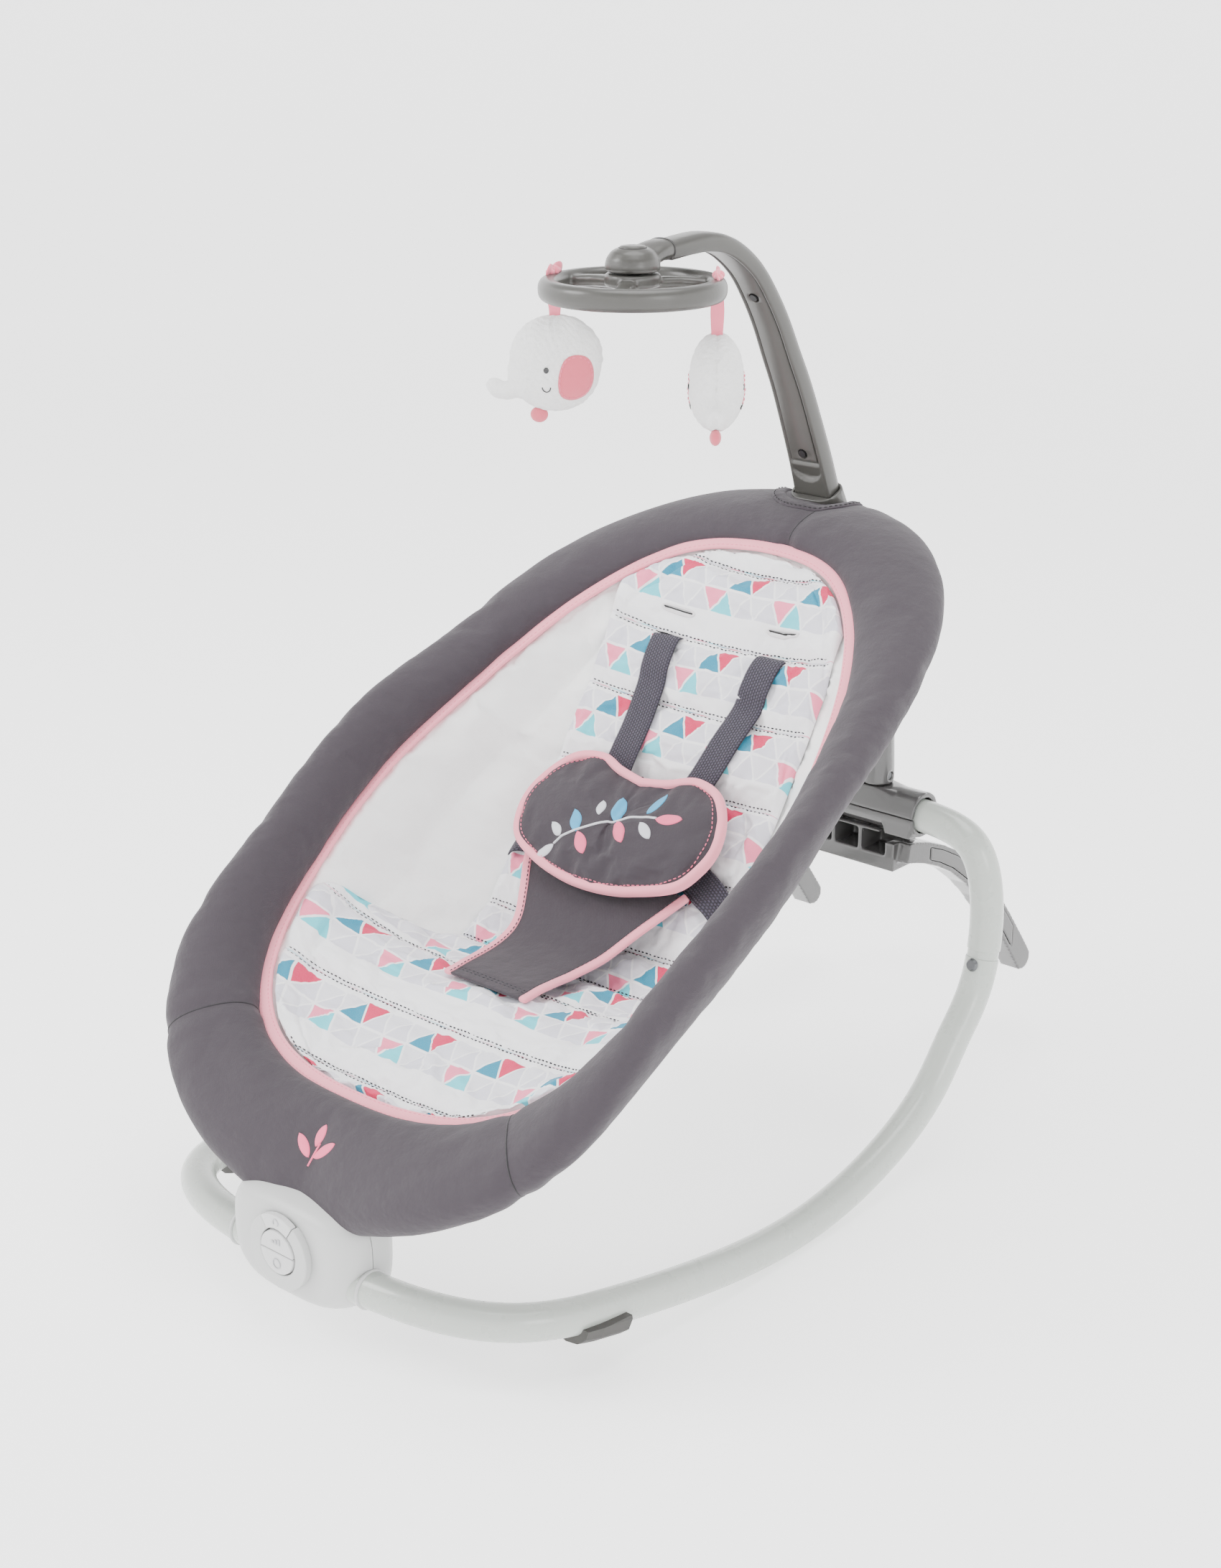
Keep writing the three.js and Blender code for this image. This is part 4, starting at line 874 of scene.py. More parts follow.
def border_seams():
    """Sunk thread line where two lengths of the cover are joined."""
    parts = []
    for k in SEAM_STATIONS:
        c, d, e = rim_place(k)[:3]
        rays = [d * math.cos(a) + e * math.sin(a) for a in np.radians(np.arange(-60, 176, 5))]
        line = [dropped(BORDER, c + ray * 80, -ray, -0.1) for ray in rays]
        parts.append(sweep(catmull(line, 120), circle(0.75, 8)))
    make("border_seam_lines", *merged(parts), "charcoal_thread")


border_seams()


def rim_line(inset, lift):
    out = np.stack([RIM_OUT[:, 0], RIM_OUT[:, 1] * CT, RIM_OUT[:, 1] * ST], 1)
    return seat_point(RIM[:, 0], RIM[:, 1], 0) - out * inset + NORMAL * lift


def piping():
    wobble = smooth_noise((len(RIM), 2), (60, 1), 9, (True, False))[:, :1] * 0.35
    line = rim_line(4.3, 0) + NORMAL * (wobble - 0.8)
    make("piping_band", *sweep(line, oval(4.8, 10.6, 20, 2.6), side=NORMAL, closed=True), "pink",
         stands_for=("piping",), subdivide=1)
    rows = []
    for inset in (1.6, 7.4):
        edge = rim_line(inset, 1.1) + NORMAL * wobble
        rows.append(stitches(np.vstack([edge, edge[:1]]), NORMAL, 2.6, 1.3, 0.8, 0.45))
    make("piping_stitches", *merged(rows), "thread_pink")


piping()


# ---------------------------------------------------------------- seat cloth
def side_cloth():
    rows = np.linspace(262, -262, 190)
    cols = np.linspace(-1, 1, 111)
    edge = np.maximum(half_width(rows, 4.5), 6)
    x = edge[:, None] * cols[None]
    v = np.broadcast_to(rows[:, None], x.shape)
    hidden = np.abs(x) < liner_half(v) - 9
    slack = smooth_noise(x.shape, (34, 9), 21) + 0.5 * smooth_noise(x.shape, (60, 30), 22)
    free = np.clip((np.abs(x) - liner_half(v)) / 10, 0, 1) * np.clip((edge[:, None] - np.abs(x)) / 12, 0, 1)
    n = cloth_top(x, v) + 0.6 + slack * 1.5 * free
    verts = seat_point(x, v, n).reshape(-1, 3)
    c = len(cols)
    faces = grid_faces(len(rows), c)
    pinned = hidden | (np.abs(cols)[None] > 0.985) | (np.abs(v) > 260)
    verts = simulate(verts, faces, pinned.ravel(), 0.5, 0.03, 6.0, 16)
    sheet = make("side_cloth", verts, faces, "white", stands_for=("seat_sling",))
    thick = sheet.modifiers.new("thick", "SOLIDIFY")
    thick.thickness = 1.6 * MM
    thick.offset = -1
    q = verts.reshape(len(rows), c, 3)
    wide, long = max(run_of(row)[-1] for row in q), run_of(q[:, c // 2])[-1]


side_cloth()

LINER_END = 253.0
SEAM_V = np.array(SEAMS, float)
ARC_V = np.linspace(LINER_END, -LINER_END, 1200)
ARC = np.concatenate([[0], np.cumsum(np.hypot(np.diff(ARC_V), np.diff(cloth_top(0.0, ARC_V))))])
MOTIF_X = [-76, -76, -84, -81, -78, -73, -82, -77, -80, -85, -80]


def arc_at(v):
    return np.interp(-np.asarray(v, float), -ARC_V, ARC)


def seam_gap(v):
    """Distance along the cloth to the nearest quilting line."""
    s = arc_at(v)
    return np.abs(s[..., None] - arc_at(SEAM_V)).min(-1)


def quilt_top(x, v):
    """Top of the quilted liner along the seat normal."""
    side = np.clip((liner_half(v) - np.abs(x)) / 13, 0, 1)
    end = np.clip((LINER_END - np.abs(v)) / 10, 0, 1)
    round_off = np.sqrt(1 - (1 - side) ** 2) * np.sqrt(1 - (1 - end) ** 2)
    puff = 1 - (1 - np.clip(seam_gap(v) / 17, 0, 1)) ** 2.2
    return cloth_top(x, v) + 1.2 + round_off * (4.6 + 7.6 * puff)


def quilted_liner():
    rows = ARC_V[np.searchsorted(ARC, np.linspace(0.01, ARC[-1] - 0.01, 330))]
    k = np.linspace(-1, 1, 101)
    cols = np.sign(k) * (1 - (1 - np.abs(k)) ** 1.35)
    half = np.maximum(liner_half(rows), 20)
    x = half[:, None] * cols[None]
    v = np.broadcast_to(rows[:, None], x.shape)
    slack = smooth_noise(x.shape, (110, 26), 31) * 0.6 + smooth_noise(x.shape, (50, 12), 32) * 0.9
    gap = seam_gap(v)
    n = quilt_top(x, v) + slack * np.clip(gap / 12, 0, 1) * np.clip((half[:, None] - np.abs(x)) / 12, 0, 1)
    top = seat_point(x, v, n)
    c = len(cols)
    pinned = (gap < 1.3) | (np.abs(cols)[None] > 0.97) | (np.abs(v) > LINER_END - 1)
    top = simulate(top.reshape(-1, 3), grid_faces(len(rows), c), pinned.ravel(), 2.2, 0.04, 4.5, 18)
    top = top.reshape(x.shape + (3,))
    xb = half[:, None] * np.linspace(1, -1, 27)[None] * 0.995
    vb = np.broadcast_to(rows[:, None], xb.shape)
    bottom = seat_point(xb, vb, cloth_top(xb, vb) + 0.9)
    verts, faces = loft(np.concatenate([top, bottom], 1))
    band = np.clip(np.searchsorted(-SEAM_V, -rows, side="right"), 0, len(MOTIF_X) - 1)
    start = np.where(band > 0, arc_at(SEAM_V)[np.maximum(band - 1, 0)], arc_at(SEAM_V[0]) - 60)
    offset = np.array(MOTIF_X)[np.maximum(band - 1, 0)]
    gx = np.concatenate([x, xb], 1) - offset[:, None]
    gt = np.broadcast_to((arc_at(rows) - start)[:, None], gx.shape)
    gt = np.where(np.arange(gx.shape[1])[None] >= c, -20.0, gt)      # no motifs on the underside
    liner = make("liner_quilt", verts, faces, "print", stands_for=("quilted_liner",),
                 grid=np.stack([gx, gt], -1).reshape(-1, 2))
    return surface_tree(verts, faces)


LINER = quilted_liner()


def on_liner(x, v, lift=0.0):
    return dropped(LINER, seat_point(x, v, 60), -NORMAL, lift)


def over_liner(x, v, lift, reach=12.0):
    """Point on the liner lifted clear of everything within reach on both sides."""
    spots = [on_liner(x + k, v) for k in np.linspace(-reach, reach, 7)]
    height = max((q - SEAT_ORIGIN) @ NORMAL for q in spots)
    q = on_liner(x, v)
    return q + NORMAL * (height - (q - SEAT_ORIGIN) @ NORMAL + lift)


def quilting_stitches():
    parts = []
    for seam in SEAM_V:
        half = float(liner_half(seam)) - 3
        for shift in (-1.7, 1.7):
            v = float(np.interp(arc_at(seam) + shift, ARC, ARC_V))
            line = [on_liner(x, v, 0.15) for x in np.linspace(-half, half, 60)]
            parts.append(stitches(line, NORMAL, 2.2, 1.5, 1.0, 0.6))
    make("quilting_stitches", *merged(parts), "thread")


quilting_stitches()


def strap_slots():
    """Worked slots where the harness can pass through the liner, each opening shown as a near-black strip of
    painted shade.
    """
    dark, edge = [], []
    for x0, v0 in ((-49.5, 196), (49.5, 196), (-49.5, 178), (49.5, 178)):
        a = np.linspace(0, 2 * math.pi, 41)[:-1]
        ring = [(x0 + 14.5 * squared(math.cos(q), 4), v0 + 2.1 * math.sin(q)) for q in a]
        edge.append(sweep([on_liner(x, v, 0.1) for x, v in ring], circle(1.1, 10), closed=True))
        # dark strip along the slot: painted shade inside the opening
        line = [on_liner(x0 + k, v0, 0.15) for k in np.linspace(-13, 13, 9)]
        dark.append(sweep(line, oval(2.6, 0.7, 10), side=NORMAL))
    make("slot_edges", *merged(edge), "thread_white")
    make("slot_gap_painted_shade", *merged(dark), "dark")


strap_slots()


# ---------------------------------------------------------------- harness
WEBBING_WIDTH, WEBBING_THICK = 25.0, 1.9
SHOULDER = [(48.3, 164, 1.4), (46.5, 150, 1.2), (45, 138, 1.2), (42, 110, 1.6), (39, 84, 5.5), (36, 62, 10)]
WAIST = [(60, 15, 9), (76, 8, 6), (90, 1, 3.4), (99, -3, 1)]


def webbing_strip(name, points, node, side):
    line = catmull(points, 40)
    p, _, s, u = frames(line, side)
    k = np.linspace(-1, 1, 13)
    run = run_of(line)
    rings, grid = [], []
    for i in range(len(p)):
        for way, qs in ((1, k), (-1, k[::-1])):
            for q in qs:
                rings.append(p[i] + s[i] * q * WEBBING_WIDTH / 2
                             + way * u[i] * (WEBBING_THICK / 2 - 0.5 * abs(q) ** 6))
                grid.append((q * WEBBING_WIDTH / 2, run[i]))
    rings = np.array(rings).reshape(len(p), 2 * len(k), 3)
    strip = make(name, *loft(rings), "webbing", stands_for=(node,), grid=grid)


for side, sign in SIDES:
    path = [on_liner(sign * 49.5, 179, -3), over_liner(sign * 49.3, 175.0, 1.0)]
    path += [over_liner(sign * x, v, lift) for x, v, lift in SHOULDER]
    webbing_strip("harness_shoulder_" + side, path, "shoulder_strap_" + side, X_AXIS)
    path = [on_liner(sign * x, v, lift) for x, v, lift in WAIST]
    webbing_strip("harness_waist_" + side, path, "waist_strap_" + side, np.array([0, CT, ST]))


def crotch_strap():
    """Padded strap between the legs, bound in pink along both edges."""
    stations = [(-137, 38, 1.4, -3), (-128, 38, 2.0, -3.5), (-116, 38.5, 6, -4.5), (-100, 40, 13, -5),
                (-80, 43, 19, -4), (-60, 49, 22, -1), (-40, 59, 21, 0), (-22, 69, 18, 0), (-6, 77, 14, 0)]
    q = catmull(stations, 60)
    k = np.linspace(-1, 1, 25)
    rings, edges = [], ([], [])
    for v, h, n, x in q:
        lift = float(cloth_top(0.0, v)) + 13.2 + n
        over = [seat_point(x + c * h, v, lift + 2.2 - 1.4 * c**4) for c in k]
        under = [seat_point(x + c * h, v, lift - 2.0) for c in k[::-1]]
        rings.append(np.array(over + under))
        for line, c in zip(edges, (-1, 1)):
            line.append(seat_point(x + c * (h - 2.2), v, lift + 0.3))
    strap = make("crotch_strap", *loft(rings), "charcoal", stands_for=("crotch_piece",), subdivide=1)
    bands = [sweep(line, oval(4.4, 7.4, 16, 2.8), side=NORMAL) for line in edges]
    make("crotch_binding", *merged(bands), "pink", subdivide=1)
    parts = [stitches(np.array(line) - X_AXIS * c * 3.0 + NORMAL * 2.7, NORMAL, 2.4, 1.4, 0.8, 0.4)
             for line, c in zip(edges, (-1, 1))]
    for v in (-131.0, -128.5):
        i = int(np.argmin(np.abs(q[:, 0] - v)))
        parts.append(stitches(rings[i][:len(k)] + NORMAL * 0.15, NORMAL, 2.4, 1.6, 0.8, 0.5))
    make("crotch_stitches", *merged(parts), "thread", slot="pink_binding")


crotch_strap()

PAD_TILT = SEAT_TILT + math.radians(8)
PAD_AT = seat_point(0, 22, -52)
PAD_Y = np.array([0, math.cos(PAD_TILT), math.sin(PAD_TILT)])
PAD_Z = np.array([0, -math.sin(PAD_TILT), math.cos(PAD_TILT)])


def pad_point(x, y, z):
    x, y, z = np.broadcast_arrays(np.asarray(x, float), np.asarray(y, float), np.asarray(z, float))
    return PAD_AT + x[..., None] * X_AXIS + y[..., None] * PAD_Y + z[..., None] * PAD_Z


PAD_HALF = [(0, 38), (24, 43), (46, 50), (70, 43), (86, 20), (90, -4), (80, -29), (56, -42), (28, -49.5),
            (0, -52)]


def belly_pad():
    m, rings_n = 132, 30
    loop = both_sides(PAD_HALF)
    edge = resampled(catmull(loop + loop[:1], 400)[:-1], m)[0]
    middle = np.array([0, -4.0])
    rho = np.linspace(0.02, 1, rings_n)
    flat = middle + rho[:, None, None] * (edge - middle)[None]
    fold = smooth_noise((rings_n, m), (6, 22), 41, (False, True))
    crown = 5.2 + 6.4 * (1 - rho**3.2)[:, None]
    z = crown + fold * 1.1 * (rho * (1 - rho) * 4)[:, None]
    top = pad_point(flat[..., 0], flat[..., 1], z).reshape(-1, 3)
    faces = grid_faces(rings_n, m, wrap_cols=True) + [tuple(range(m))[::-1]]
    top = simulate(top, faces, np.repeat(rho > 0.975, m), 2.2, 0.04, 4.2, 16).reshape(rings_n, m, 3)
    under = [pad_point(*(middle + r * (edge - middle)).T, 4.6 - 4.2 * (1 - r**3))
             for r in (0.97, 0.8, 0.5, 0.1)]
    verts, faces = loft(list(top) + under)
    pad = make("belly_pad_cover", verts, faces, "charcoal", stands_for=("belly_pad",), subdivide=1)
    tree = surface_tree(verts, faces)
    inner = middle + (edge - middle) * 0.972
    wobble = smooth_noise((m, 2), (30, 1), 43, (True, False))[:, 0] * 0.6
    line = pad_point(inner[:, 0], inner[:, 1], 5.0 + wobble)
    make("pad_binding", *sweep(line, oval(8.6, 6.9, 20, 2.6), side=PAD_Z, closed=True), "pink", subdivide=1)
    rows = middle + (edge - middle) * 0.915
    seam = [dropped(tree, pad_point(a, b, 60), -PAD_Z, 0.3) for a, b in np.vstack([rows, rows[:1]])]
    make("pad_stitches", *stitches(seam, PAD_Z, 2.4, 1.3, 0.8, 0.45), "thread_pink")
    return tree


PAD = belly_pad()


def on_pad(x, y, lift=0.2):
    return dropped(PAD, pad_point(x, y, 60), -PAD_Z, lift)


def leaf(place, down, x, y, turn, length, width, steps, lift, crown):
    """Thin embroidered leaf laid on a surface by place(x, y, lift)."""
    ca, sa = math.cos(turn), math.sin(turn)
    rings = []
    for a in np.linspace(-1, 1, steps):
        w = width / 2 * (1 - a * a) ** 0.75 + 0.15
        row = np.array([place(x + a * length / 2 * ca - b * w * sa, y + a * length / 2 * sa + b * w * ca,
                              lift + crown * (1 - b * b)) for b in np.linspace(-1, 1, 7)])
        rings.append(np.vstack([row, (row - down * 1.2)[::-1]]))
    return loft(rings)


def sprig():
    stem = [(-38, -30), (-22, -17), (-4, -5), (14, 5), (36, 10)]
    line = [on_pad(x, y) for x, y in catmull(stem, 60)]
    make("sprig_stem", *sweep(line, circle(0.9, 8)), "sprig_grey")
    sets = {"sprig_blue": [(-27, -10, 2.2, 20, 9), (0, 9, 1.9, 22, 10), (27, 22, 1.4, 21, 10)],
            "sprig_pink": [(-13, -25, -0.8, 20, 9), (12, -8, -0.8, 21, 9.5), (46, 12, 0.3, 21, 9)],
            "sprig_grey": [(-43, -37, 0.9, 16, 7), (-40, -20, 2.6, 15, 7), (-14, 6, 2.0, 14, 6.5),
                           (33, -2, -0.6, 17, 7.5)]}
    for key, leaves in sets.items():
        parts = [leaf(on_pad, PAD_Z, *q, 15, 0.25, 0.55) for q in leaves]
        make(key + "_leaves", *merged(parts), key)


sprig()


# ---------------------------------------------------------------- toy bar
ARM_YZ = [(231.4, 458.7), (228, 467), (216.5, 497), (203, 528), (190, 556), (177, 580), (163.5, 605),
          (149.5, 626), (134.5, 644), (117, 657.5), (99, 666), (79, 669.5), (59, 669), (38, 667)]
ARM_LINE = catmull([(0, y, z) for y, z in ARM_YZ], 220) + DESIGN
COVER = (0.13, 0.84)
COVER_SCREWS = (505.0, 628.0)
TIP = 0.004                                   # share of the bar over which an edge rises


def arm_half(t):
    """Half width and half depth of the bar at t, which runs from 0 in the collar to 1 at the tip."""
    return (33 - 11 * t) / 2, (20 - 8 * t) / 2


def arm_section(t, groove):
    """D outline: flat side (positive second value) faces the child."""
    w, d = arm_half(t)
    inner = w - 3.2
    flat = []
    for x in np.linspace(-1, 1, 31):
        px = x * (w - 1.6)
        dip = 2.6 * groove * np.clip((inner - abs(px)) / 0.7 + 0.5, 0, 1)
        low = COVER[0] - 0.012 - 0.035 * math.sqrt(max(0, 1 - (px / (w - 2.6)) ** 2))
        thumb = 3.2 * np.clip((t - low) / TIP, 0, 1) * np.clip((COVER[0] - 0.006 - t) / 0.03, 0, 1)
        flat.append((px, d - dip - thumb * (1 - groove)))
    side = [(w - 0.5, d - 0.4), (w, d - 1.6), (w, d * 0.2), (w * 0.985, -d * 0.2), (w * 0.9, -d * 0.62),
            (w * 0.72, -d * 0.86), (w * 0.45, -d * 0.97), (0, -d)]
    return np.array(flat + side + [(-x, y) for x, y in side[:-1][::-1]])


def cover_section(t, near):
    """Outline of the cover plate, near being the share of the bar to the plate's nearer end."""
    w, d = arm_half(t)
    w -= 3.9
    top = d - 0.8 * max(0, 1 - near / 0.006) ** 2
    half = [(w, d - 3.2), (w, top - 0.9), (w - 0.35, top - 0.3), (w - 1.0, top - 0.05)]
    return [(-x, y) for x, y in half] + [(0, top + 0.15)] + half[::-1]


def toy_bar():
    t = np.arange(len(ARM_LINE)) / (len(ARM_LINE) - 1)
    groove = np.clip((t - COVER[0]) / TIP, 0, 1) * np.clip((COVER[1] - t) / TIP, 0, 1)
    sections = np.array([arm_section(a, g) for a, g in zip(t, groove)])
    make("toy_bar_shell", *sweep(ARM_LINE, sections, side=X_AXIS), "bar", "toy_bar_body", ("toy_bar",))
    pick = np.flatnonzero((t > COVER[0] + 0.006) & (t < COVER[1] - 0.006))
    rows = [cover_section(t[i], min(t[i] - t[pick[0]], t[pick[-1]] - t[i])) for i in pick]
    cutters, dark = [], []
    for z in COVER_SCREWS:
        i = int(np.argmin(np.abs(ARM_LINE[:, 2] - DESIGN[2] - z)))
        p, _, _, u = frames(ARM_LINE[i - 1:i + 2], X_AXIS)
        d = arm_half(t[i])[1]
        cutters.append(lathe([(0, d - 6), (3.9, d - 6), (4.3, d + 3), (0, d + 3)], p[1], u[1], 28))
        # dark disc at the bottom of each screw hole: painted shade in the recess
        dark.append(lathe([(0, d - 3.4), (4.4, d - 3.4), (4.4, d - 2.2), (0, d - 2.2)], p[1], u[1], 24))
    cover = cut_away(mesh_of("cover", *sweep(ARM_LINE[pick], np.array(rows), side=X_AXIS)), [merged(cutters)])
    plate = finish_piece("bar_cover_plate", cover, "bar", "toy_bar_body", ("bar_cover",))
    bevel = plate.modifiers.new("edge", "BEVEL")
    bevel.width = 0.25 * MM
    bevel.segments = 2
    bevel.limit_method = "ANGLE"
    make("screw_recess_painted_shade", *merged(dark), "bar_dark", "toy_bar_body")


toy_bar()

# ---------------------------------------------------------------- toy ring
RING_AT = np.array([0, 9, 645.0]) + DESIGN
RING_R = 57.0


def toy_ring():
    a = np.linspace(0, 2 * math.pi, 97)[:-1]
    line = RING_AT + np.stack([RING_R * np.cos(a), RING_R * np.sin(a), np.full(96, -0.5)], 1)
    parts = [sweep(line, oval(15.6, 13.6, 28, 2.5), side=Z_AXIS, closed=True)]
    parts.append(lathe([(0, 1), (17.5, 1), (19, 2.2), (19, 8.6), (17.5, 10), (0, 10.4)], RING_AT, Z_AXIS, 48))
    parts.append(lathe([(0, 5), (4, 5), (4, 15.2), (0, 15.2)], RING_AT, Z_AXIS, 24))
    widths = np.interp(np.linspace(0, 1, 31), [0, 0.5, 1], [15, 10, 17])
    spoke = np.array([oval(w, 8.4, 20, 2.8) for w in widths])[:, :, ::-1]
    for q in np.radians([60, 180, 300]):
        d = np.array([math.cos(q), math.sin(q), 0])
        web = [RING_AT + d * r + Z_AXIS * z for r, z in ((10, 3), (30, 2.2), (50, 0.5), (58, 0))]
        parts.append(sweep(catmull(web, 30), spoke, side=Z_AXIS))
    fused("toy_ring_moulding", parts, 0.9, 12, "bar", "toy_ring_body", ("toy_ring",))


toy_ring()


def hub_knuckle():
    """Domed joint over the ring with a round flush button and a neck that takes the bar's tip."""
    round_part = lambda profile, n: lathe(profile, RING_AT, Z_AXIS, n)
    dome = round_part([(0, 11), (17, 11), (18.6, 12.6), (18.8, 15.5), (17.6, 20), (14.6, 24.2), (10.5, 26.4),
                       (0, 27)], 56)
    neck = catmull([RING_AT + [0, y, z] for y, z in ((4, 17.5), (14, 20.5), (22, 22.3), (31, 23.0))], 30)
    sizes = zip(np.linspace(31, 23.4, 31), np.linspace(13, 14.4, 31))
    wide = np.array([oval(h, w, 28, 2.4) for w, h in sizes])
    fused("knuckle_moulding", [dome, sweep(neck, wide, side=Z_AXIS)], 0.7, 14, "bar", "toy_bar_body",
          ("hub_knuckle",))
    # dark band at the end of the neck: painted shade in the seam between knuckle and bar tip
    seam = sweep(neck[28:], oval(15.0, 24.2, 28, 2.4), side=Z_AXIS)
    make("knuckle_seam_painted_shade", *seam, "bar_dark", "toy_bar_body")
    # dark disc showing in the thin ring round the button: painted shade in its gap
    gap = round_part([(0, 24), (9.6, 24), (9.6, 26.75), (0, 26.8)], 40)
    make("button_gap_painted_shade", *gap, "bar_dark", "toy_bar_body")
    button = round_part([(0, 25), (8.9, 25), (8.9, 27.0), (8.3, 27.7), (6, 28.1), (0, 28.4)], 44)
    make("release_button", *button, "bar", "toy_bar_body", ("hub_cap",))


hub_knuckle()

# ---------------------------------------------------------------- plush toys and ribbons
TOYS = (("right", (-54, -10), 591, -52), ("left", (48, 46), 582, 38))


def toy_frame(spot, z, yaw):
    """Direction from the hub, hanging place and turned axes of a toy."""
    out = unit(np.array([spot[0], spot[1] - 9.0, 0]))
    at = np.array([out[0] * RING_R, 9 + out[1] * RING_R, z]) + DESIGN
    q = math.radians(yaw)
    return out, at, np.array([math.cos(q), math.sin(q), 0]), np.array([-math.sin(q), math.cos(q), 0])


EAR = [(2, 16), (10, 13.5), (13, 4), (12, -7), (6, -15), (-4, -17), (-11, -14), (-12, -2), (-9, 10),
       (-5, 14.5)]
TRUNK = [(-26, -17, 7.5), (-32, -19, 6.8), (-37, -19.5, 6.2), (-41, -18, 5.8), (-43, -15.5, 5.2)]


def plush_toy(side, spot, z, yaw, seed):
    body = "toy_%s_body" % side
    _, at, fx, fy = toy_frame(spot, z, yaw)
    turn = np.stack([fx, fy, Z_AXIS])
    put = lambda mesh: (np.asarray(mesh[0]) @ turn + at, mesh[1])
    blob = lambda c, r: put(ellipsoid(np.array(c, float), r))
    parts = [blob((0, 1, 4), (18.5, 32.5, 29.5)), blob((0, 0, -5), (18.8, 31.5, 28)),
             blob((0, -10, -6), (17, 23, 23))] + [blob((0, y, zz), (r, r, r)) for y, zz, r in TRUNK]
    out = softened(mesh_of("plush", *merged(parts)), 1.0, 14)
    local = (points_of(out) - at) @ turn.T
    x, y, zz = local.T
    seam = 1.5 * np.clip(1 - np.abs(x) / 2.4, 0, 1)
    tuft = np.sin(x * 0.9 + 3 * np.sin(y * 0.31 + seed)) * np.sin(zz * 0.83 + y * 0.57)
    local = local + unit(local * [1.6, 1, 1]) * (0.45 * tuft - seam)[:, None]
    out.vertices.foreach_set("co", ((local @ turn + at) * MM).astype(np.float32).ravel())
    toy = finish_piece("plush_" + side, out, "plush", body, ("toy_" + side,))
    tree = surface_tree(local @ turn + at, [tuple(p.vertices) for p in out.polygons])
    felt, thread, eyes = [], [], []
    ear = resampled(closed_spline(EAR, 12), 40)[0]
    for face in (1, -1):
        out_dir = fx * face
        hit = lambda y, zz, lift: dropped(tree, at + out_dir * 60 + fy * y + Z_AXIS * zz, -out_dir, lift)
        rows = [np.array([hit(15 + r * y, -7 + r * z, 1.3 - 0.7 * r**6) for y, z in ear])
                for r in (0.05, 0.35, 0.65, 0.9, 1.0)]
        felt.append(loft(rows + [row - out_dir * 1.6 for row in rows[::-1]]))
        edge = np.vstack([rows[3], rows[3][:1]]) + out_dir * 0.3
        thread.append(stitches(edge, out_dir, 2.2, 1.1, 0.8, 0.4))
        c = hit(-4.5, -2.0, 0.2)
        eyes.append(put(ellipsoid((c - at) @ turn.T, (0.7, 1.9, 2.1), 20)))
        smile = [hit(-4.5 + 2.9 * math.sin(k), -13.5 - 3.6 * math.cos(k), 0.2)
                 for k in np.linspace(-1.5, 1.5, 17)]
        eyes.append(sweep(smile, circle(0.45, 8)))
    make("ears_" + side, *merged(felt), "felt", body)
    make("ear_stitches_" + side, *merged(thread), "thread_pink", body, slot="ribbon_pink")
    make("face_" + side, *merged(eyes), "eye", body)
    make("foot_" + side, *blob((0, -11, -35.5), (4.0, 6.2, 5.6)), "felt", body)


def ribbon_band(side, spot, z):
    """Pink tape from the ring down to the toy, with a bow of two lobes and a knot on top."""
    out, at, _, _ = toy_frame(spot, z, 0)
    along = np.cross(Z_AXIS, out)
    mid = RING_AT + out * RING_R + Z_AXIS * -0.5
    turn = lambda pts: np.array([mid + out * a + Z_AXIS * b + along * c for a, b, c in pts])
    band = oval(7.2, 1.3, 14, 3)[:, ::-1]
    end = at[2] + 27 - mid[2]
    parts = []
    for shift in (-1.2, 1.2):
        drop = [(shift * 0.6, 6.4, 0.0), (shift * 0.6, -5, 0.0), (shift, -14, 0.4),
                (shift * 0.8, end * 0.6, -0.4), (0, end, 0)]
        parts.append(sweep(catmull(turn(drop), 20), band, side=along))
    for face in (-1, 1):
        lobe = []
        for q in np.linspace(0.25, 2 * math.pi - 0.25, 30):
            reach = 9.6 * math.sin(q / 2) ** 1.2
            high = 9.2 + 2.3 * math.sin(q) * (0.4 + 0.6 * reach / 9.6)
            lobe.append((0.8 * math.sin(q * 2), high, face * reach))
        parts.append(sweep(turn(lobe), band * [1.5, 1], side=out))
        verts, faces = ellipsoid(np.array([0.5, 9.0, face * 5.6]), (3.2, 2.2, 3.4), 18)
        parts.append((turn(verts), faces))
    verts, faces = ellipsoid(np.zeros(3), (4.4, 4.0, 3.8), 24)
    parts.append((turn(verts * [1.0, 0.85, 0.8] + [0.4, 9.6, 0]), faces))
    make("ribbon_band_" + side, *merged(parts), "ribbon", "toy_%s_body" % side, ("ribbon_" + side,),
         subdivide=1)


for seed, (side, spot, z, yaw) in enumerate(TOYS):
    plush_toy(side, spot, z, yaw, seed)
    ribbon_band(side, spot, z)


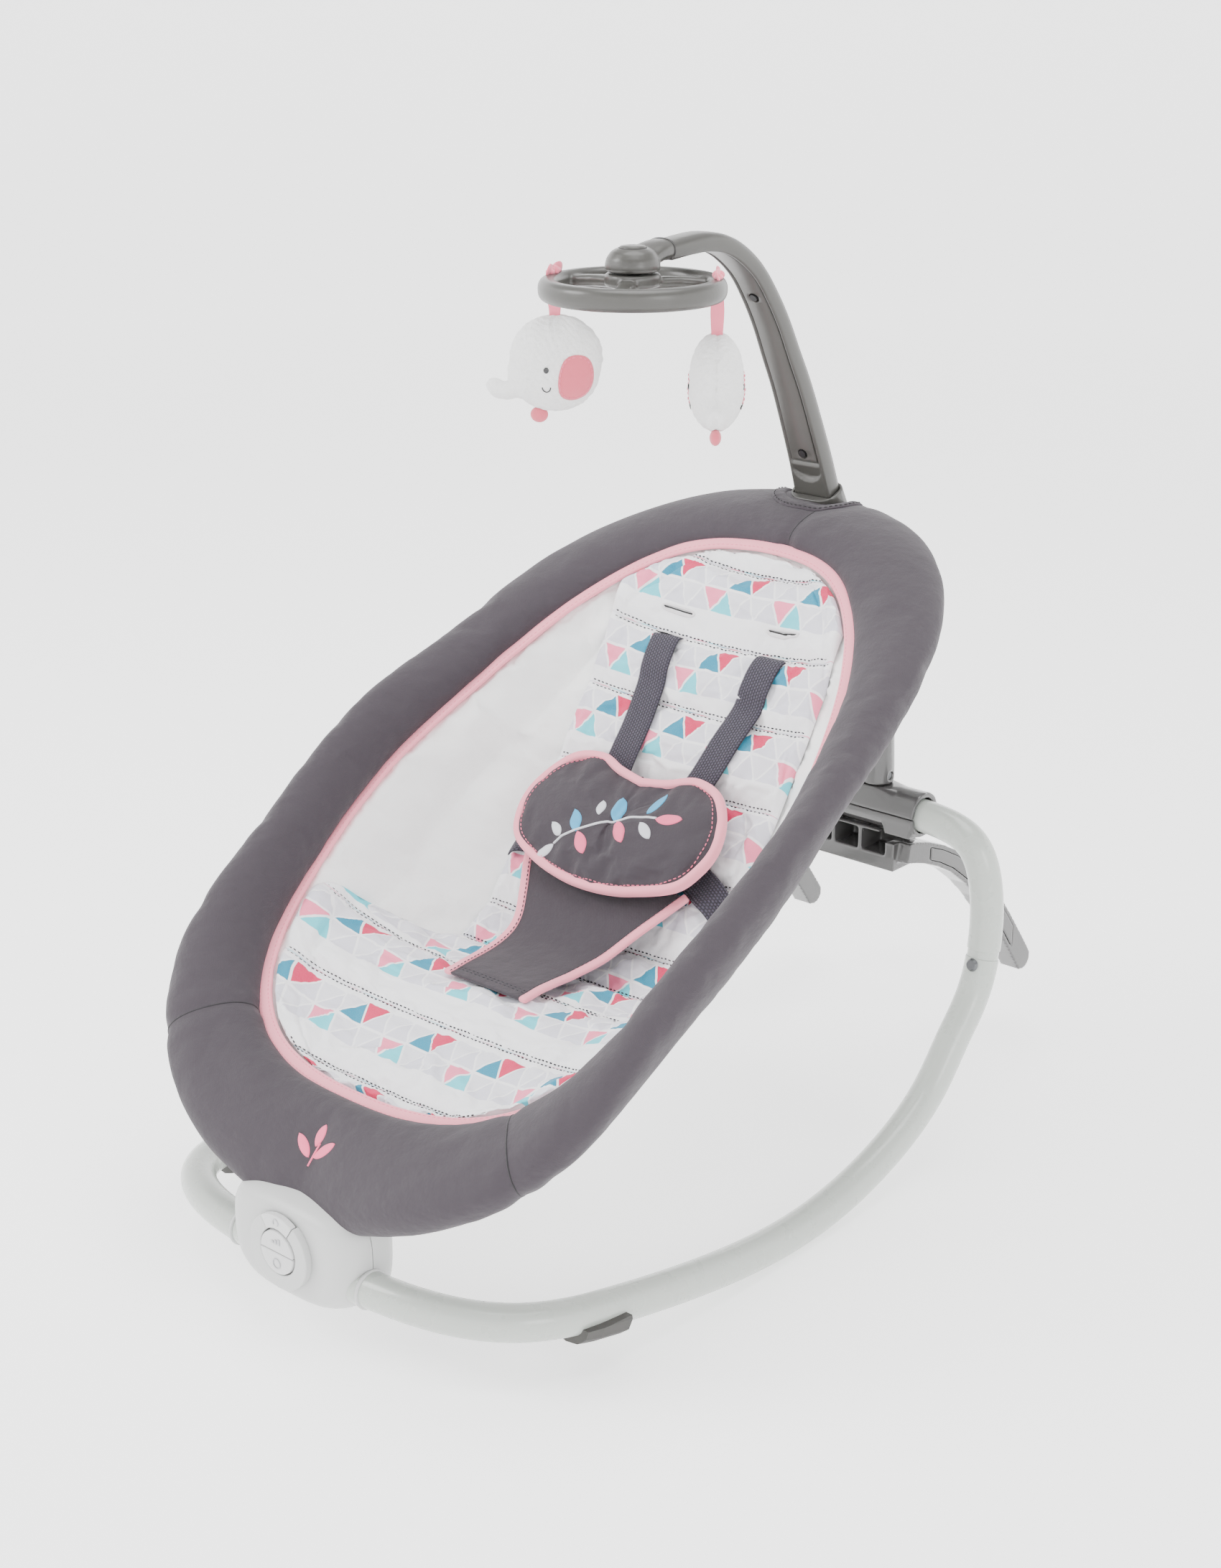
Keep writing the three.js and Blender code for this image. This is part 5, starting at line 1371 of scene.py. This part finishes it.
# ---------------------------------------------------------------- small details
def dial_marks():
    """Generic raised marks: bars on the upper button, a ring on the power button, an arc on the top one."""
    y, z0 = -335 - 20 - 7.3, 64 + DESIGN[2]
    arc = lambda r, turns, dy, dz: [(r * math.cos(q), y + dy, z0 + dz + r * math.sin(q)) for q in turns]
    ring = arc(3.4, np.linspace(0, 2 * math.pi, 25)[:-1], 0, -8)
    make("power_mark", *sweep(ring, circle(0.4, 8), closed=True), "icon", "power_button_body")
    bars = [sweep(np.array([[x - 0.95, y, z + z0], [x + 0.95, y, z + z0]]), oval(0.5, h, 10, 3), side=Y_AXIS)
            for x, z, h in ((-3.0, 7.4, 2.0), (0, 8, 3.2), (3.0, 8.6, 4.4))]
    make("upper_mark", *merged(bars), "icon", "upper_button_body")
    top = arc(2.4, np.linspace(-0.9, 3.9, 25), 0.7, 21.8)
    make("top_mark", *sweep(top, circle(0.4, 8)), "icon", "top_button_body")


dial_marks()


def collar_facing():
    """Crescent of stitched cloth on the border in front of the toy bar's collar."""
    axis = unit(np.array([0, 228 - 203, 467 - 528.0]))
    front = np.cross(axis, X_AXIS)
    front = front if front[1] < 0 else -front
    base = np.array([0, 228, 460.0]) + DESIGN + axis * 8
    rows = []
    for grow in (2.5, 5.0, 8.0, 10.5, 12.5):
        line = []
        for q in np.radians(np.linspace(-15, 195, 50)):
            p = base + X_AXIS * (24 + grow) * math.cos(q) + front * (16 + grow * 1.15) * math.sin(q)
            lift = 1.5 * math.sin(math.pi * (grow - 1.5) / 12.5) + 0.5
            line.append(dropped(BORDER, p - axis * 60, axis, lift))
        rows.append(np.array(line))
    under = [r + axis * 2.0 for r in rows]
    make("collar_facing", *loft(np.stack(rows + under[::-1], 1)), "charcoal", subdivide=1)
    make("facing_stitches", *stitches(rows[-2] - axis * 0.3, -axis, 2.6, 1.4, 0.9, 0.5), "charcoal_thread")


collar_facing()


def front_embroidery():
    """Plain three-leaf motif in pink thread on the front of the border."""
    at = lambda x, v, lift=0.2: dropped(BORDER, seat_point(x, v, 120), -NORMAL, lift)
    parts = [leaf(at, NORMAL, x, v, turn, length, 6.8, 13, 0.2, 0.6)
             for x, v, turn, length in ((-9, -306, 2.5, 17), (9, -304, 0.7, 19), (0, -296, 1.55, 15))]
    parts.append(sweep([at(0.4 * k, -316 + 2.2 * k) for k in range(8)], circle(0.7, 8)))
    make("front_embroidery", *merged(parts), "sprig_pink")


front_embroidery()


# ---------------------------------------------------------------- floor, light and camera
def pale_floor():
    """Round floor that curves up into a low wall on every side, in metres."""
    flat, bend, high, n = 4.2, 1.2, 3.4, 96
    rows = [(0.02, 0.0), (1.0, 0.0), (2.5, 0.0)]
    rows += [(flat + math.sin(a) * bend, bend - math.cos(a) * bend) for a in np.linspace(0, math.pi / 2, 16)]
    rows.append((flat + bend, high))
    verts = [(r * math.cos(q), r * math.sin(q), z) for r, z in rows for q in np.arange(n) * 2 * math.pi / n]
    faces = [tuple(range(n))]
    for i in range(len(rows) - 1):
        faces += [(i * n + k, (i + 1) * n + k, (i + 1) * n + (k + 1) % n, i * n + (k + 1) % n) for k in range(n)]
    me = bpy.data.meshes.new("floor")
    me.from_pydata(verts, [], faces)
    me.polygons.foreach_set("use_smooth", [True] * len(me.polygons))
    s = Shader("pale_floor", 0.8)
    s.bsdf.inputs["Emission Color"].default_value = (1, 1, 1, 1)
    s.bsdf.inputs["Emission Strength"].default_value = 0.95
    grain = s.noise(s.place(), 0.004, 3)
    me.materials.append(s.finish(s.mix(grain, (0.93, 0.93, 0.93, 1), (0.95, 0.95, 0.95, 1))))
    placed("floor", me)


def lamp(name, place, size, watts, aim=(0, -0.02, 0.25)):
    light = bpy.data.lights.new(name, "AREA")
    light.shape = "DISK"
    light.size = size
    light.energy = watts
    obj = placed(name, light)
    obj.location = place
    obj.rotation_euler = (Vector(place) - Vector(aim)).to_track_quat("Z", "Y").to_euler()


def photo_camera():
    """Camera at the photograph's angle, its place found by matching the outline."""
    cam = bpy.data.cameras.new("photo_camera")
    cam.sensor_fit = "VERTICAL"
    cam.sensor_height = cam.sensor_width = 36
    cam.lens = 55.40
    obj = placed("photo_camera", cam)
    obj.location = (1.065, -1.250, 0.8757)
    turn, pitch = math.radians(41.20), math.radians(19.67)
    back = Vector((math.sin(turn) * math.cos(pitch), -math.cos(turn) * math.cos(pitch), math.sin(pitch)))
    obj.rotation_euler = (-back).to_track_quat("-Z", "Y").to_euler()
    bpy.context.scene.camera = obj


pale_floor()
world = bpy.data.worlds.new("studio")
bpy.context.scene.world = world
world.use_nodes = True
sky = world.node_tree.nodes["Background"]
sky.inputs["Color"].default_value = (1, 1, 1, 1)
sky.inputs["Strength"].default_value = 1.1
lamp("overhead", (0.1, 0.1, 2.6), 2.0, 52)
lamp("key", (-1.5, -1.6, 2.0), 1.2, 46)
lamp("side", (2.3, -0.6, 1.2), 1.0, 14)
photo_camera()
